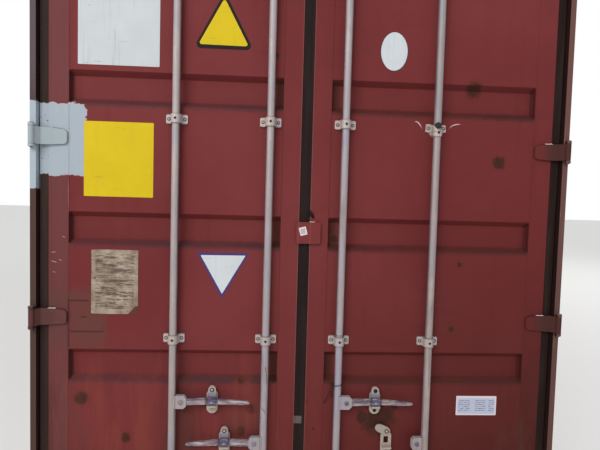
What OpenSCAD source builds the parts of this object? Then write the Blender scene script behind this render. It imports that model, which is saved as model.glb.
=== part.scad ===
// A 40 foot high-cube steel shipping container with two hinged cargo doors.
// X is the width, Y the length and Z is up. The doors are at the low Y end.
// The origin is the middle of the footprint, at the underside of the corner castings.

/* [Overall size] */
// Length over the corner castings
box_length = 12192; // [6058:1:13716]
// Width over the corner castings
box_width = 2438; // [2400:1:2500]
// Height over the corner castings
box_height = 2896; // [2438:1:2896]
// Height of the corrugated walls' lower edge
wall_foot = 175; // [150:1:200]
// Top face of the plywood floor
floor_top = 168; // [150:1:180]

/* [Corner castings] */
// Length of a casting along the container
casting_length = 178; // [170:1:185]
// Width of a casting across the container
casting_width = 162; // [155:1:170]
// Height of a casting
casting_height = 118; // [110:1:125]
// Wall at the top or bottom aperture
casting_face = 28.5; // [20:0.5:32]
// Side and end walls
casting_wall = 15.5; // [10:0.5:20]
// Length of the long top or bottom aperture
aperture_length = 124.5; // [110:0.5:130]
// Width of every aperture
aperture_width = 63.5; // [60:0.5:68]
// Length of the side and end apertures
side_aperture_length = 79.5; // [70:0.5:85]
// Height of the side and end apertures
side_aperture_height = 51; // [48:0.5:56]
// Height of the side and end aperture centres over a casting's outer face
side_aperture_level = 64; // [60:1:68]
// Inner walls of a casting
casting_inner = 12; // [8:0.5:16]
// Aperture centre from the end face
aperture_from_end = 101.5; // [90:0.5:110]
// Aperture centre from the side face
aperture_from_side = 89; // [80:0.5:95]

/* [Posts, header and sill] */
// Depth of the rear posts' front strip behind the end plane
post_depth = 39; // [34:1:45]
// Inset of the posts behind the sides of the castings
post_inset = 4; // [0:0.5:10]
// Width of a rear post's front strip
strip_width = 26; // [20:1:34]
// Width of a rear post behind the door
jamb_width = 45; // [36:1:55]
// Depth at which the post steps in behind the door
jamb_depth = 118; // [112:1:130]
// Plate of the posts
post_plate = 6; // [4:0.5:8]
// Width of a front post across the container
front_post_width = 115; // [100:1:130]
// Depth of a front post where the front wall meets it
front_post_wing = 50; // [40:1:70]
// Width of a front post where the side wall meets it
front_post_neck = 42; // [39:1:50]
// Distance of the front posts' and rails' faces behind the front plane
front_face = 10; // [6:1:16]
// Depth of the front rails
front_rail_depth = 60; // [50:1:80]
// Depth of the header and sill fronts behind the end plane
sill_depth = 54; // [50:1:60]
// Top of the sill under the doors
sill_top = 150; // [140:1:160]
// Height of the header over the doors
header_height = 133; // [120:1:175]
// Underside clearance of the base frame
base_clearance = 18; // [12:1:30]
// Plate of header, sill and end rails
rail_plate = 4; // [3:0.5:8]
// Drop of the header and the top rails below the castings' tops
rail_drop = 18; // [10:1:30]

/* [Walls and roof] */
// Depth of the side wall flutes
side_flute_depth = 36; // [25:1:45]
// Pitch of the side wall flutes
side_flute_pitch = 278; // [200:1:320]
// Outer flat of a side wall flute
side_flute_flat = 72; // [50:1:90]
// Sloping part of a side wall flute, along the wall
side_flute_slope = 68; // [30:1:80]
// Sheet thickness of the walls
wall_sheet = 2; // [1.6:0.1:3]
// Inset of the side walls' outer flats behind the posts
wall_inset = 1; // [0:0.5:10]
// Depth of the front wall flutes
front_flute_depth = 45; // [30:1:50]
// Pitch of the front wall flutes
front_flute_pitch = 250; // [200:1:300]
// Outer flat of a front wall flute
front_flute_flat = 110; // [90:1:120]
// Sloping part of a front wall flute, along the wall
front_flute_slope = 18; // [10:1:30]
// Depth of the roof waves
roof_wave_depth = 20; // [15:1:25]
// Pitch of the roof waves
roof_wave_pitch = 209; // [190:1:250]
// Flat of a roof wave
roof_wave_flat = 91; // [70:1:100]
// Sloping part of a roof wave, along the roof
roof_wave_slope = 13.5; // [8:0.5:20]
// Drop of the roof waves' crowns below the castings' tops
roof_drop = 8; // [6:1:12]
// Size of the square top side rails
top_rail_size = 60; // [50:1:80]
// Wall of the top side rails
top_rail_wall = 3; // [2:0.5:5]
// Height of a ventilator cover
vent_height = 170; // [140:1:200]
// Width of a ventilator cover
vent_width = 64; // [50:1:64]
// Drop of the ventilator covers below the top side rails
vent_drop = 88; // [60:1:120]

/* [Base] */
// Height of the bottom side rails
bottom_rail_height = 158; // [140:1:170]
// Flange width of the bottom side rails
bottom_rail_flange = 48; // [30:1:60]
// Plate of the bottom side rails
bottom_rail_plate = 4.5; // [3:0.5:6]
// Height of the cross-members
cross_height = 122; // [100:1:130]
// Flange width of the cross-members
cross_flange = 45; // [35:1:60]
// Plate of the cross-members
cross_plate = 4; // [3:0.5:6]
// Number of cross-members behind the gooseneck tunnel
cross_count = 29; // [20:1:34]
// Pitch of the cross-members
cross_pitch = 305; // [280:1:330]
// Thickness of the floor boards
floor_board = 28; // [24:1:30]
// Length of the gooseneck tunnel
tunnel_length = 3315; // [3150:1:3500]
// Width of the gooseneck tunnel
tunnel_width = 1029; // [1020:1:1060]
// Clear height of the gooseneck tunnel
tunnel_height = 120; // [118:1:126]
// Number of short beams on each side of the tunnel
outrigger_count = 11; // [8:1:11]
// Distance of the first outrigger from the tunnel's rear end
outrigger_first = 40; // [20:1:80]
// Distance of the last outrigger from the front end
outrigger_last = 375; // [300:1:450]

/* [Doors] */
// Gap between a leaf's outer edge and a rear post's front strip
leaf_side_gap = 45; // [30:1:55]
// Inner edge of a door leaf from the middle
leaf_meeting = 25; // [20:1:35]
// Gap between a leaf and the sill or the header
leaf_gap = 14; // [10:1:20]
// Depth of the door face behind the end plane
leaf_depth = 62; // [60:1:70]
// Thickness of a door leaf
leaf_thickness = 50; // [40:1:55]
// Width of a leaf's outer stile
outer_stile = 87.5; // [60:0.5:120]
// Width of the stile at the meeting edge
inner_stile = 84; // [60:1:120]
// Height of the top and bottom door rails
leaf_rail = 130; // [80:1:170]
// Wall of the door frame tubes
frame_wall = 4; // [3:0.5:6]
// Spacing of the pressed grooves across the door panel
groove_pitch = 625; // [500:1:700]
// Height of a groove at the door face
groove_mouth = 146; // [100:1:180]
// Height of a groove at its bottom
groove_floor = 100; // [60:1:140]
// Depth of a groove
groove_depth = 30; // [20:1:36]

/* [Hinges] */
// Inset of the hinge pins behind the posts' outer sides
pin_inset = 15; // [11:0.5:16]
// Depth of the hinge pins behind the end plane
pin_depth = 18; // [16:1:19]
// Radius of a hinge pin
pin_radius = 7; // [5:0.5:8]
// Gap around a pin in its blade
pin_clearance = 0.3; // [0.1:0.1:0.6]
// Outer radius of a knuckle
knuckle_radius = 12.5; // [11:0.5:15]
// Height of a hinge blade at its knuckle
blade_height = 76; // [60:1:90]
// Reach of a hinge blade from its pin
blade_reach = 139; // [130:1:170]
// Thickness of a hinge blade on the door
blade_thickness = 12; // [8:0.5:14]
// Thickness of a hinge blade's neck, which passes between door and post
blade_neck = 8.7; // [6:0.1:10]
// Height of a hinge lug
lug_height = 11; // [8:1:20]
// Gap between a hinge blade and its lugs
lug_gap = 1.5; // [0.5:0.5:3]
// Height of the inner hinges above and below the doors' middle
hinge_inner = 402; // [360:1:440]
// Distance of the outer hinges from the leaf's upper and lower edges
hinge_from_edge = 83.5; // [70:0.5:200]

/* [Lock bars] */
// Radius of the lock bars
bar_radius = 17; // [13:0.5:18]
// Depth of the bars' axes behind the end plane
bar_depth = 30; // [29:0.5:31]
// Distance of an outer bar from its leaf's outer edge
bar_from_edge = 557.5; // [500:0.5:600]
// Distance of the inner bars from the middle
bar_inner = 169; // [150:1:200]
// Shift of all bars and their gear to the right of their even places
bar_shift = 3.5; // [0:0.5:8]
// Gap around a bar in its guides
guide_clearance = 0.3; // [0.1:0.1:0.6]
// Height of the guides above and below the door's middle
guide_inner = 494; // [400:1:540]
// Distance of the end guides from the leaf's upper and lower edges
guide_from_edge = 133.5; // [110:0.5:200]
// Width of a guide
guide_width = 95; // [80:1:110]
// Height of a guide
guide_height = 42; // [36:1:50]
// Plate of a guide
guide_plate = 8; // [5:0.5:9]
// Wall of a guide's strap around the bar
guide_strap = 5; // [2:0.1:6]
// Depth to which the damaged guide's strap is bent down
bent_drop = 24; // [10:1:30]
// Height of the lower keepers' middle
keeper_height = 102; // [96:1:106]
// Height of a keeper lug
keeper_lug = 14; // [10:1:16]
// Gap between a keeper lug and the cam fingers above and below it
cam_gap = 7; // [5:0.5:9]
// Thickness of a cam finger
cam_finger = 12; // [8:0.5:14]
// Length of a cam finger from the bar's axis
cam_reach = 58; // [50:1:60]

/* [Handles] */
// Height of the upper pair of handles
handle_high = 669; // [600:1:760]
// Height of the lower pair of handles
handle_low = 477; // [420:1:520]
// Distance of a handle's pivot from its bar
handle_offset = 41; // [38:1:46]
// Length of a handle from its pivot
handle_length = 311; // [290:1:340]
// Thickness of a handle
handle_thickness = 12; // [8:0.5:13]
// Gap on each side of a handle in its hub, and around its rivet
handle_clearance = 0.3; // [0.1:0.1:0.6]
// Height of a hub and its plates
hub_height = 60; // [52:1:70]
// Reach of a hub's plates from the bar's axis
hub_reach = 66; // [60:1:72]
// Thickness of a hub's plates
hub_plate = 4; // [4:0.5:6]
// Distance of a retainer from its bar
retainer_offset = 179; // [170:1:195]
// Length of a retainer's plate
retainer_length = 128; // [120:1:136]
// Width of a retainer's plate
retainer_width = 50; // [46:1:56]
// Height of a catch's rivet above its handle
catch_rise = 50; // [46:1:54]
// Length of a catch from its rivet
catch_length = 57; // [54:1:64]
// Turn of the fourth catch, which is swung up and out
open_catch = 112; // [90:1:150]
// Height of the lock plate across the meeting edges
lock_plate_height = 99; // [80:1:120]
// Reach of the lock plate on the left door
lock_plate_left = 39; // [30:1:60]
// Reach of the lock plate on the right door
lock_plate_right = 74; // [50:1:90]

/* [Hidden] */
$fn = 48;
half_length = box_length / 2;
half_width = box_width / 2;
post_side = half_width - post_inset;
post_strip = post_side - strip_width;
post_jamb = post_side - jamb_width;
side_face = post_side - wall_inset;
leaf_edge = post_strip - leaf_side_gap;
pin_side = post_side - pin_inset;
bar_outer = leaf_edge - bar_from_edge;
outrigger_pitch = (tunnel_length - outrigger_first - outrigger_last) / (outrigger_count - 1);
end_y = -half_length;
side_run = box_length - 2 * casting_length;
casting_side = half_width - casting_width;
under_casting = box_height - casting_height;
rail_top = box_height - rail_drop;
header_bottom = rail_top - header_height;
roof_crown = box_height - roof_drop;
roof_low = roof_crown - roof_wave_depth - wall_sheet;
rail_foot = wall_foot - bottom_rail_height;
cross_top = floor_top - floor_board;
cross_end = post_side - bottom_rail_flange;
tunnel_end = half_length - tunnel_length;
tunnel_side = tunnel_width / 2 + rail_plate;
front_rail_back = front_face + front_rail_depth;
leaf_bottom = sill_top + leaf_gap;
leaf_top = header_bottom - leaf_gap;
leaf_back = leaf_depth + leaf_thickness;
door_middle = (leaf_bottom + leaf_top) / 2;
half_leaf = (leaf_top - leaf_bottom) / 2;
panel_low = leaf_bottom + leaf_rail;
panel_high = leaf_top - leaf_rail;
outer_panel_edge = leaf_edge - outer_stile;
inner_panel_edge = leaf_meeting + inner_stile;
hinge_outer = half_leaf - hinge_from_edge;
guide_outer = half_leaf - guide_from_edge;
hinge_heights = [-hinge_outer, -hinge_inner, hinge_inner, hinge_outer];
guide_heights = [-guide_outer, -guide_inner, guide_inner, guide_outer];
strap_radius = bar_radius + guide_clearance + guide_strap;
bar_end = keeper_height + 39;
retainer_back = leaf_depth - 8;
catch_front = retainer_back - 16;

// Outline of the right rear post: a narrow front strip, stepped in behind the door leaf.
rear_post = [[post_side, post_depth], [post_side, casting_length], [post_jamb, casting_length],
    [post_jamb, jamb_depth], [post_strip, jamb_depth], [post_strip, post_depth]];

// Outline of the right front post, cut across its inner corner, from the front plane back.
front_post = [[post_side, -front_face], [post_side - front_post_width, -front_face],
    [post_side - front_post_width, -front_face - front_post_wing],
    [post_side - front_post_neck, 48 - casting_length], [post_side - front_post_neck, -casting_length],
    [post_side, -casting_length]];

// Moves each side of an outline to its left by a distance and returns the new corners.
function inset(points, distance) = [
    for (i = [0:len(points) - 1])
        let (before = points[(i + len(points) - 1) % len(points)],
            here = points[i],
            after = points[(i + 1) % len(points)],
            into = (here - before) / norm(here - before),
            out = (after - here) / norm(after - here),
            turn = into[0] * out[1] - into[1] * out[0])
        here + distance * [-into[1], into[0]] - into * distance * (1 - into * out) / turn
];

// Draws what stands in the end plane's depth measure: depth 0 is the door end plane.
module from_door_end() {
    translate([0, end_y, 0]) children();
}

// Draws a shape and its mirror image across the middle of the width.
module both_sides() {
    children();
    mirror([1, 0, 0]) children();
}

// Draws a shape and its mirror image across the middle of the doors' height.
module both_ends() {
    children();
    translate([0, 0, 2 * door_middle]) mirror([0, 0, 1]) children();
}

// A slot with round ends, its long side along X.
module slot(length, width) {
    square([length - width, width], center = true);
    translate([(width - length) / 2, 0]) circle(d = width);
    translate([(length - width) / 2, 0]) circle(d = width);
}

// A rectangle around the origin with cut corners.
module cut_plate(width, height, cut) {
    polygon([[cut - width / 2, -height / 2], [width / 2 - cut, -height / 2],
        [width / 2, cut - height / 2], [width / 2, height / 2 - cut],
        [width / 2 - cut, height / 2], [cut - width / 2, height / 2],
        [-width / 2, height / 2 - cut], [-width / 2, cut - height / 2]]);
}

// A round bar along the depth, from one depth to another.
module stud(radius, front, back) {
    translate([0, back, 0]) rotate([90, 0, 0]) cylinder(r = radius, h = back - front);
}

// A flat shape drawn in X and Z and given a thickness from one depth to another.
module face_plate(front, back) {
    translate([0, back, 0]) rotate([90, 0, 0]) linear_extrude(back - front) children();
}

// One corner casting with its three outer faces at low X, low Y and low Z.
module casting() {
    difference() {
        cube([casting_width, casting_length, casting_height]);
        translate([casting_wall, casting_wall, casting_face])
            cube([casting_width - casting_wall - casting_inner, casting_length - casting_wall - casting_inner,
                casting_height - casting_face - casting_inner]);
        translate([aperture_from_side, aperture_from_end, -1])
            rotate([0, 0, 90])
            linear_extrude(casting_face + 2)
            slot(aperture_length, aperture_width);
        translate([-1, aperture_from_end, side_aperture_level])
            rotate([90, 0, 90])
            linear_extrude(casting_wall + 2)
            slot(side_aperture_length, side_aperture_height);
        translate([aperture_from_side, 0, side_aperture_level])
            face_plate(-1, casting_wall + 1)
            slot(side_aperture_length, side_aperture_height);
    }
}

// The four castings of the door end, bottom and top, left and right.
module end_castings() {
    both_sides() {
        translate([-half_width, end_y, 0]) casting();
        translate([-half_width, end_y, box_height]) mirror([0, 0, 1]) casting();
    }
}

module door_end_corner_castings() {
    color("firebrick") end_castings();
}

module front_end_corner_castings() {
    color("firebrick") mirror([0, 1, 0]) end_castings();
}

// A hollow post on each side, from the bottom to the top castings.
module posts(outline) {
    both_sides()
        translate([0, 0, casting_height])
        linear_extrude(under_casting - casting_height)
        difference() {
            polygon(outline);
            polygon(inset(outline, post_plate));
        }
}

module rear_corner_posts() {
    color("brown") from_door_end() posts(rear_post);
}

module front_corner_posts() {
    color("brown") translate([0, half_length, 0]) posts(front_post);
}

// The box beam over the doors, with its ends filling in under the top castings.
module door_header() {
    color("brown")
        from_door_end()
        difference() {
            union() {
                translate([-casting_side, sill_depth, header_bottom])
                    cube([2 * casting_side, casting_length - sill_depth, header_height]);
                translate([-post_jamb, sill_depth, header_bottom])
                    cube([2 * post_jamb, casting_length - sill_depth, under_casting - header_bottom]);
                translate([-post_strip, sill_depth, header_bottom])
                    cube([2 * post_strip, jamb_depth - sill_depth, under_casting - header_bottom]);
            }
            translate([-casting_side - 1, sill_depth + rail_plate, under_casting + rail_plate])
                cube([2 * casting_side + 2, casting_length - sill_depth - 2 * rail_plate,
                    rail_top - under_casting - 2 * rail_plate]);
        }
}

// The beam under the doors, with a raised threshold behind the leaves.
module door_sill() {
    color("brown")
        from_door_end()
        difference() {
            union() {
                translate([-casting_side, sill_depth, base_clearance])
                    cube([2 * casting_side, casting_length - sill_depth, sill_top - base_clearance]);
                translate([-post_strip, sill_depth, casting_height])
                    cube([2 * post_strip, jamb_depth - sill_depth, sill_top - casting_height]);
                translate([-post_jamb, jamb_depth, casting_height])
                    cube([2 * post_jamb, casting_length - jamb_depth, floor_top - casting_height]);
            }
            translate([-casting_side - 1, sill_depth + rail_plate, base_clearance + rail_plate])
                cube([2 * casting_side + 2, casting_length - sill_depth - 2 * rail_plate,
                    casting_height - base_clearance - 2 * rail_plate]);
        }
}

// One keeper for the lower end of a lock bar: a plate and two lugs that the cam straddles.
module keeper() {
    front = bar_depth - 16;
    translate([0, 0, keeper_height]) {
        face_plate(sill_depth - 4, sill_depth) cut_plate(120, 64, 6);
        for (x = [-60, 24])
            translate([x, front, -keeper_lug / 2]) cube([36, sill_depth - front, keeper_lug]);
    }
}

module cam_keepers() {
    color("silver")
        from_door_end()
        translate([bar_shift, 0, 0])
        both_sides()
        both_ends()
        for (x = [bar_inner, bar_outer])
            translate([x, 0, 0]) keeper();
}

// The pairs of lugs on the rear posts that carry the hinge pins.
module hinge_lugs() {
    color("brown")
        from_door_end()
        both_sides()
        for (h = hinge_heights, side = [-1, 1])
            translate([0, 0, door_middle + h + side * (blade_height + 2 * lug_gap + lug_height) / 2 - lug_height / 2])
            linear_extrude(lug_height)
            difference() {
                union() {
                    translate([pin_side, pin_depth]) circle(r = knuckle_radius);
                    translate([post_strip + 1, pin_depth]) square([post_side - post_strip - 1,
                        post_depth - pin_depth]);
                }
                translate([pin_side, pin_depth]) circle(r = pin_radius + 0.1);
            }
}

// The hinge pins, with a round head on top.
module hinge_pins() {
    reach = blade_height / 2 + lug_gap + lug_height;
    color("silver")
        from_door_end()
        both_sides()
        for (h = hinge_heights)
            translate([pin_side, pin_depth, door_middle + h - reach]) {
                translate([0, 0, -4]) cylinder(r = pin_radius, h = 2 * reach + 4);
                translate([0, 0, 2 * reach]) cylinder(r = pin_radius + 3, h = 3);
            }
}

// The square tubes along the top of the side walls.
module top_side_rails() {
    inner = top_rail_size - 2 * top_rail_wall;
    color("brown")
        both_sides()
        translate([post_side - top_rail_size, end_y + casting_length, rail_top - top_rail_size])
        difference() {
            cube([top_rail_size, side_run, top_rail_size]);
            translate([top_rail_wall, -1, top_rail_wall]) cube([inner, side_run + 2, inner]);
        }
}

// The channels along the bottom of the side walls, open towards the middle.
module bottom_side_rails() {
    color("brown")
        both_sides()
        translate([post_side, half_length - casting_length, 0])
        rotate([90, 0, 0])
        linear_extrude(side_run)
        polygon([[0, rail_foot], [0, wall_foot], [-bottom_rail_flange, wall_foot],
            [-bottom_rail_flange, wall_foot - bottom_rail_plate],
            [-bottom_rail_plate, wall_foot - bottom_rail_plate],
            [-bottom_rail_plate, rail_foot + bottom_rail_plate],
            [-bottom_rail_flange, rail_foot + bottom_rail_plate],
            [-bottom_rail_flange, rail_foot]]);
}

// The beam over the front wall, with a plate closing the roof behind it.
module front_top_rail() {
    color("brown")
        translate([-casting_side, half_length, 0])
        difference() {
            union() {
                translate([0, -front_rail_back, under_casting])
                    cube([2 * casting_side, front_rail_depth, rail_top - under_casting]);
                translate([0, -casting_length, roof_low])
                    cube([2 * casting_side, casting_length - front_face - rail_plate, 6]);
            }
            translate([-1, rail_plate - front_rail_back, under_casting + rail_plate])
                cube([2 * casting_side + 2, front_rail_depth - 2 * rail_plate,
                    rail_top - under_casting - 2 * rail_plate]);
        }
}

// The beam under the front wall, cut out for the gooseneck tunnel.
module front_bottom_rail() {
    side = post_side - front_post_width;
    hollow = casting_side - tunnel_side - rail_plate;
    color("brown")
        translate([0, half_length - front_rail_back, 0])
        difference() {
            union() {
                translate([-casting_side, 0, base_clearance])
                    cube([2 * casting_side, front_rail_depth, wall_foot - base_clearance]);
                translate([-side, 0, casting_height])
                    cube([2 * side, front_rail_depth, wall_foot - casting_height]);
            }
            translate([-tunnel_side, -1, 0])
                cube([2 * tunnel_side, front_rail_depth + 2, tunnel_height + rail_plate]);
            both_sides()
                translate([tunnel_side + rail_plate, rail_plate, base_clearance + rail_plate])
                cube([hollow + 1, front_rail_depth - 2 * rail_plate,
                    casting_height - base_clearance - 2 * rail_plate]);
        }
}

// The points of one side of a fluted sheet along X: out at the depth, in at zero.
function flute_line(count, pitch, flat, slope, depth) = [
    for (i = [0:count - 1], k = [0:3])
        [i * pitch + [0, flat, flat + slope, pitch - slope][k], [depth, depth, 0, 0][k]]
];

// A fluted sheet seen from its end, starting and ending with a flat of the outer kind.
module fluted_sheet(count, pitch, flat, slope, depth, lead, total) {
    line = flute_line(count, pitch, flat, slope, depth);
    near = concat([[-lead, depth]], line, [[count * pitch, depth], [total - lead, depth]]);
    far = [for (i = [len(near) - 1:-1:0]) [near[i][0], near[i][1] - wall_sheet]];
    polygon(concat(near, far));
}

// One side wall on the left, its flutes upright, between the posts and the rails.
module side_wall() {
    count = floor((side_run - 120) / side_flute_pitch);
    lead = (side_run - count * side_flute_pitch - side_flute_flat) / 2;
    translate([-side_face + side_flute_depth, end_y + casting_length + lead, wall_foot])
        linear_extrude(rail_top - top_rail_size - wall_foot)
        rotate([0, 0, 90])
        fluted_sheet(count, side_flute_pitch, side_flute_flat, side_flute_slope, side_flute_depth, lead, side_run);
}

module left_side_wall() {
    color("firebrick") side_wall();
}

module right_side_wall() {
    color("firebrick") mirror([1, 0, 0]) side_wall();
}

// The front wall, its flutes upright, between the front posts.
module front_wall() {
    run = 2 * (post_side - front_post_width);
    count = floor((run - 120) / front_flute_pitch);
    lead = (run - count * front_flute_pitch - front_flute_flat) / 2;
    color("firebrick")
        translate([-run / 2 + lead, half_length - front_face - wall_sheet - front_flute_depth, wall_foot])
        linear_extrude(under_casting - wall_foot)
        fluted_sheet(count, front_flute_pitch, front_flute_flat, front_flute_slope, front_flute_depth, lead, run);
}

// The roof, its waves running across the width.
module roof_sheet() {
    count = floor((side_run - 120) / roof_wave_pitch);
    lead = (side_run - count * roof_wave_pitch - roof_wave_flat) / 2;
    wide = 2 * (post_side - top_rail_size);
    color("firebrick")
        translate([wide / 2, end_y + casting_length + lead, roof_crown - roof_wave_depth])
        rotate([0, 0, 90])
        rotate([90, 0, 0])
        mirror([0, 0, 1])
        linear_extrude(wide)
        translate([0, roof_wave_depth])
        mirror([0, 1])
        translate([0, wall_sheet])
        fluted_sheet(count, roof_wave_pitch, roof_wave_flat, roof_wave_slope, roof_wave_depth, lead, side_run);
}

// Four small ventilator covers, each in a flute near the top corners of the side walls.
module vents() {
    count = floor((side_run - 120) / side_flute_pitch);
    lead = (side_run - count * side_flute_pitch - side_flute_flat) / 2;
    first = end_y + casting_length + lead + side_flute_flat + side_flute_slope + 3;
    louvre = 22;
    color("dimgray")
        both_sides()
        for (y = [first + side_flute_pitch, first + (count - 2) * side_flute_pitch])
            translate([side_face - side_flute_depth, y, rail_top - top_rail_size - vent_drop - vent_height])
            difference() {
                cube([16, vent_width, vent_height]);
                for (z = [20:louvre:vent_height - 20])
                    translate([6, 8, z]) rotate([0, 30, 0]) cube([20, vent_width - 16, 6]);
            }
}

// One cross-member: a channel on edge, its web upright.
module channel(length) {
    rotate([90, 0, 90])
        linear_extrude(length)
        polygon([[0, 0], [cross_flange, 0], [cross_flange, cross_plate], [cross_plate, cross_plate],
            [cross_plate, cross_height - cross_plate], [cross_flange, cross_height - cross_plate],
            [cross_flange, cross_height], [0, cross_height]]);
}

// The floor beams from side rail to side rail.
module cross_members() {
    color("brown")
        for (i = [0:cross_count - 1])
            translate([-cross_end, end_y + casting_length + 60 + i * cross_pitch, cross_top - cross_height])
            channel(2 * cross_end);
}

// The short floor beams on both sides of the gooseneck tunnel.
module tunnel_outriggers() {
    color("brown")
        both_sides()
        for (i = [0:outrigger_count - 1])
            translate([tunnel_side, tunnel_end + outrigger_first + i * outrigger_pitch, cross_top - cross_height])
            channel(cross_end - tunnel_side);
}

// The plate tunnel for a gooseneck trailer, with low bows under the floor.
module gooseneck_tunnel() {
    long = tunnel_length - front_rail_back;
    bow_base = tunnel_height + rail_plate - 0.5;
    color("brown")
        translate([0, tunnel_end, 0]) {
            difference() {
                translate([-tunnel_side, 0, base_clearance])
                    cube([2 * tunnel_side, long, tunnel_height + rail_plate - base_clearance]);
                translate([-tunnel_width / 2, -1, -1]) cube([tunnel_width, long + 2, tunnel_height + 1]);
            }
            for (y = [10:280:long - 60])
                translate([-tunnel_side, y, bow_base]) cube([2 * tunnel_side, 60, cross_top - bow_base]);
        }
}

// The plywood floor: ten sheets in two rows, and a short piece at the front wall.
module floor_boards() {
    rows = 5;
    gap = 3;
    long = side_run / rows;
    end_side = post_side - front_post_width - 5;
    color("peru") {
        both_sides()
            for (i = [0:rows - 1])
                translate([gap / 2, end_y + casting_length + gap / 2 + i * long, cross_top])
                cube([cross_end - 2 - gap / 2, long - gap, floor_board]);
        translate([-end_side, half_length - casting_length + gap / 2, cross_top])
            cube([2 * end_side, casting_length - front_rail_back - gap, floor_board]);
    }
}

// The welded frame of the right leaf: two stiles and two rails, hollow inside.
module door_frame() {
    high = leaf_top - leaf_bottom;
    hollow = leaf_thickness - 2 * frame_wall;
    difference() {
        translate([leaf_meeting, leaf_depth, leaf_bottom])
            cube([leaf_edge - leaf_meeting, leaf_thickness, high]);
        translate([inner_panel_edge, leaf_depth - 1, panel_low])
            cube([outer_panel_edge - inner_panel_edge, leaf_thickness + 2, panel_high - panel_low]);
        translate([leaf_meeting + frame_wall, leaf_depth + frame_wall, leaf_bottom - 1])
            cube([inner_stile - 2 * frame_wall, hollow, high + 2]);
        translate([outer_panel_edge + frame_wall, leaf_depth + frame_wall, leaf_bottom - 1])
            cube([outer_stile - 2 * frame_wall, hollow, high + 2]);
        for (z = [leaf_bottom + frame_wall, leaf_top - leaf_rail - frame_wall])
            translate([inner_panel_edge, leaf_depth + frame_wall, z])
            cube([outer_panel_edge - inner_panel_edge, hollow, leaf_rail]);
    }
}

// The pressed panel of the right leaf: one sheet with three level grooves, flush with the frame.
module door_panel() {
    grooves = [for (i = [-1:1], k = [0:3])
        [door_middle + i * groove_pitch + [-groove_mouth, -groove_floor, groove_floor, groove_mouth][k] / 2,
            [0, groove_depth, groove_depth, 0][k]]];
    near = concat([[panel_low, 0]], grooves, [[panel_high, 0]]);
    face = [for (p = near) [leaf_depth + p[1], p[0]]];
    back = [for (i = [len(near) - 1:-1:0]) [leaf_depth + near[i][1] + wall_sheet, near[i][0]]];
    translate([inner_panel_edge, 0, 0])
        rotate([90, 0, 90])
        linear_extrude(outer_panel_edge - inner_panel_edge)
        polygon(concat(face, back));
}

// The rubber seal around the right leaf: a thin front lip on a thicker body.
module door_seal() {
    difference() {
        union() {
            translate([4, leaf_depth + 4, sill_top + 5])
                cube([post_strip - 9.5, 6, header_bottom - sill_top - 10]);
            translate([12, leaf_depth + 9, sill_top + 8])
                cube([post_strip - 25, leaf_thickness - 11, header_bottom - sill_top - 16]);
        }
        translate([leaf_meeting, leaf_depth - 1, leaf_bottom])
            cube([leaf_edge - leaf_meeting, leaf_thickness + 2, leaf_top - leaf_bottom]);
    }
}

// The section of a hinge blade, measured from its pin: X towards the middle, Y inwards.
// Its neck runs half way between two post corners: the front strip's edge with the door shut,
// and the post's outer corner with the door swung round to the side wall.
module blade_section() {
    swing = 262;
    strip_corner = [pin_side - post_strip, post_depth - pin_depth];
    outer_corner = [pin_side - post_side, post_depth - pin_depth];
    turned = [outer_corner[0] * cos(swing) - outer_corner[1] * sin(swing),
        outer_corner[0] * sin(swing) + outer_corner[1] * cos(swing)];
    across = (turned - strip_corner) / norm(turned - strip_corner);
    along = [-across[1], across[0]];
    middle = (turned + strip_corner) / 2;
    near = middle + across * blade_neck / 2;
    far = middle - across * blade_neck / 2;
    door = leaf_depth - pin_depth;
    polygon([near - along * 16, near, near + along * 14, [0.6 * blade_reach, door - blade_thickness],
        [blade_reach, door - blade_thickness], [blade_reach, door], [0.55 * blade_reach, door],
        far + along * 16, far, far - along * 12]);
}

// One hinge blade of the right leaf, its knuckle at the pin and its tip on the outer stile.
module hinge_blade() {
    half = blade_height / 2;
    tip = pin_side - blade_reach;
    wide = pin_side + 2 * knuckle_radius;
    difference() {
        intersection() {
            translate([0, 0, -half])
                linear_extrude(blade_height)
                union() {
                    translate([pin_side, pin_depth]) circle(r = knuckle_radius);
                    translate([pin_side, pin_depth]) mirror([1, 0]) blade_section();
                }
            face_plate(-20, 100)
                polygon([[wide, half], [tip + 0.6 * blade_reach, half - 1], [tip + 17, half - 8],
                    [tip + 5, half - 13], [tip, half - 22], [tip, 18 - half], [tip + 5, 9 - half],
                    [tip + 17, 4 - half], [tip + 0.6 * blade_reach, 0.5 - half], [wide, -half]]);
        }
        translate([pin_side, pin_depth, -half - 1]) cylinder(r = pin_radius + pin_clearance, h = blade_height + 2);
    }
}

// The four hinge blades of the right leaf.
module hinge_blades() {
    for (h = hinge_heights)
        translate([0, 0, door_middle + h]) hinge_blade();
}

// The body of a bar guide before it is cut to its outline: a strap over the bar with a bevelled foot
// on each side and two ears.
module guide_body(low, high) {
    ear_front = leaf_depth - guide_plate;
    translate([0, 0, low])
        linear_extrude(high - low)
        union() {
            translate([0, bar_depth]) circle(r = strap_radius);
            translate([-strap_radius, bar_depth]) square([2 * strap_radius, leaf_depth - bar_depth]);
            polygon([[-strap_radius, ear_front - 12], [strap_radius, ear_front - 12],
                [strap_radius + 5, ear_front], [-strap_radius - 5, ear_front]]);
            translate([-guide_width / 2, ear_front]) square([guide_width, guide_plate]);
        }
}

// The bore of a bar guide.
module guide_bore() {
    translate([0, bar_depth, -guide_height - bent_drop])
        cylinder(r = bar_radius + guide_clearance, h = 2 * (guide_height + bent_drop));
}

// One guide that holds a lock bar on the leaf.
module bar_guide() {
    difference() {
        intersection() {
            guide_body(-guide_height / 2, guide_height / 2);
            face_plate(-20, 100) cut_plate(guide_width, guide_height, 5);
        }
        guide_bore();
    }
}

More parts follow.
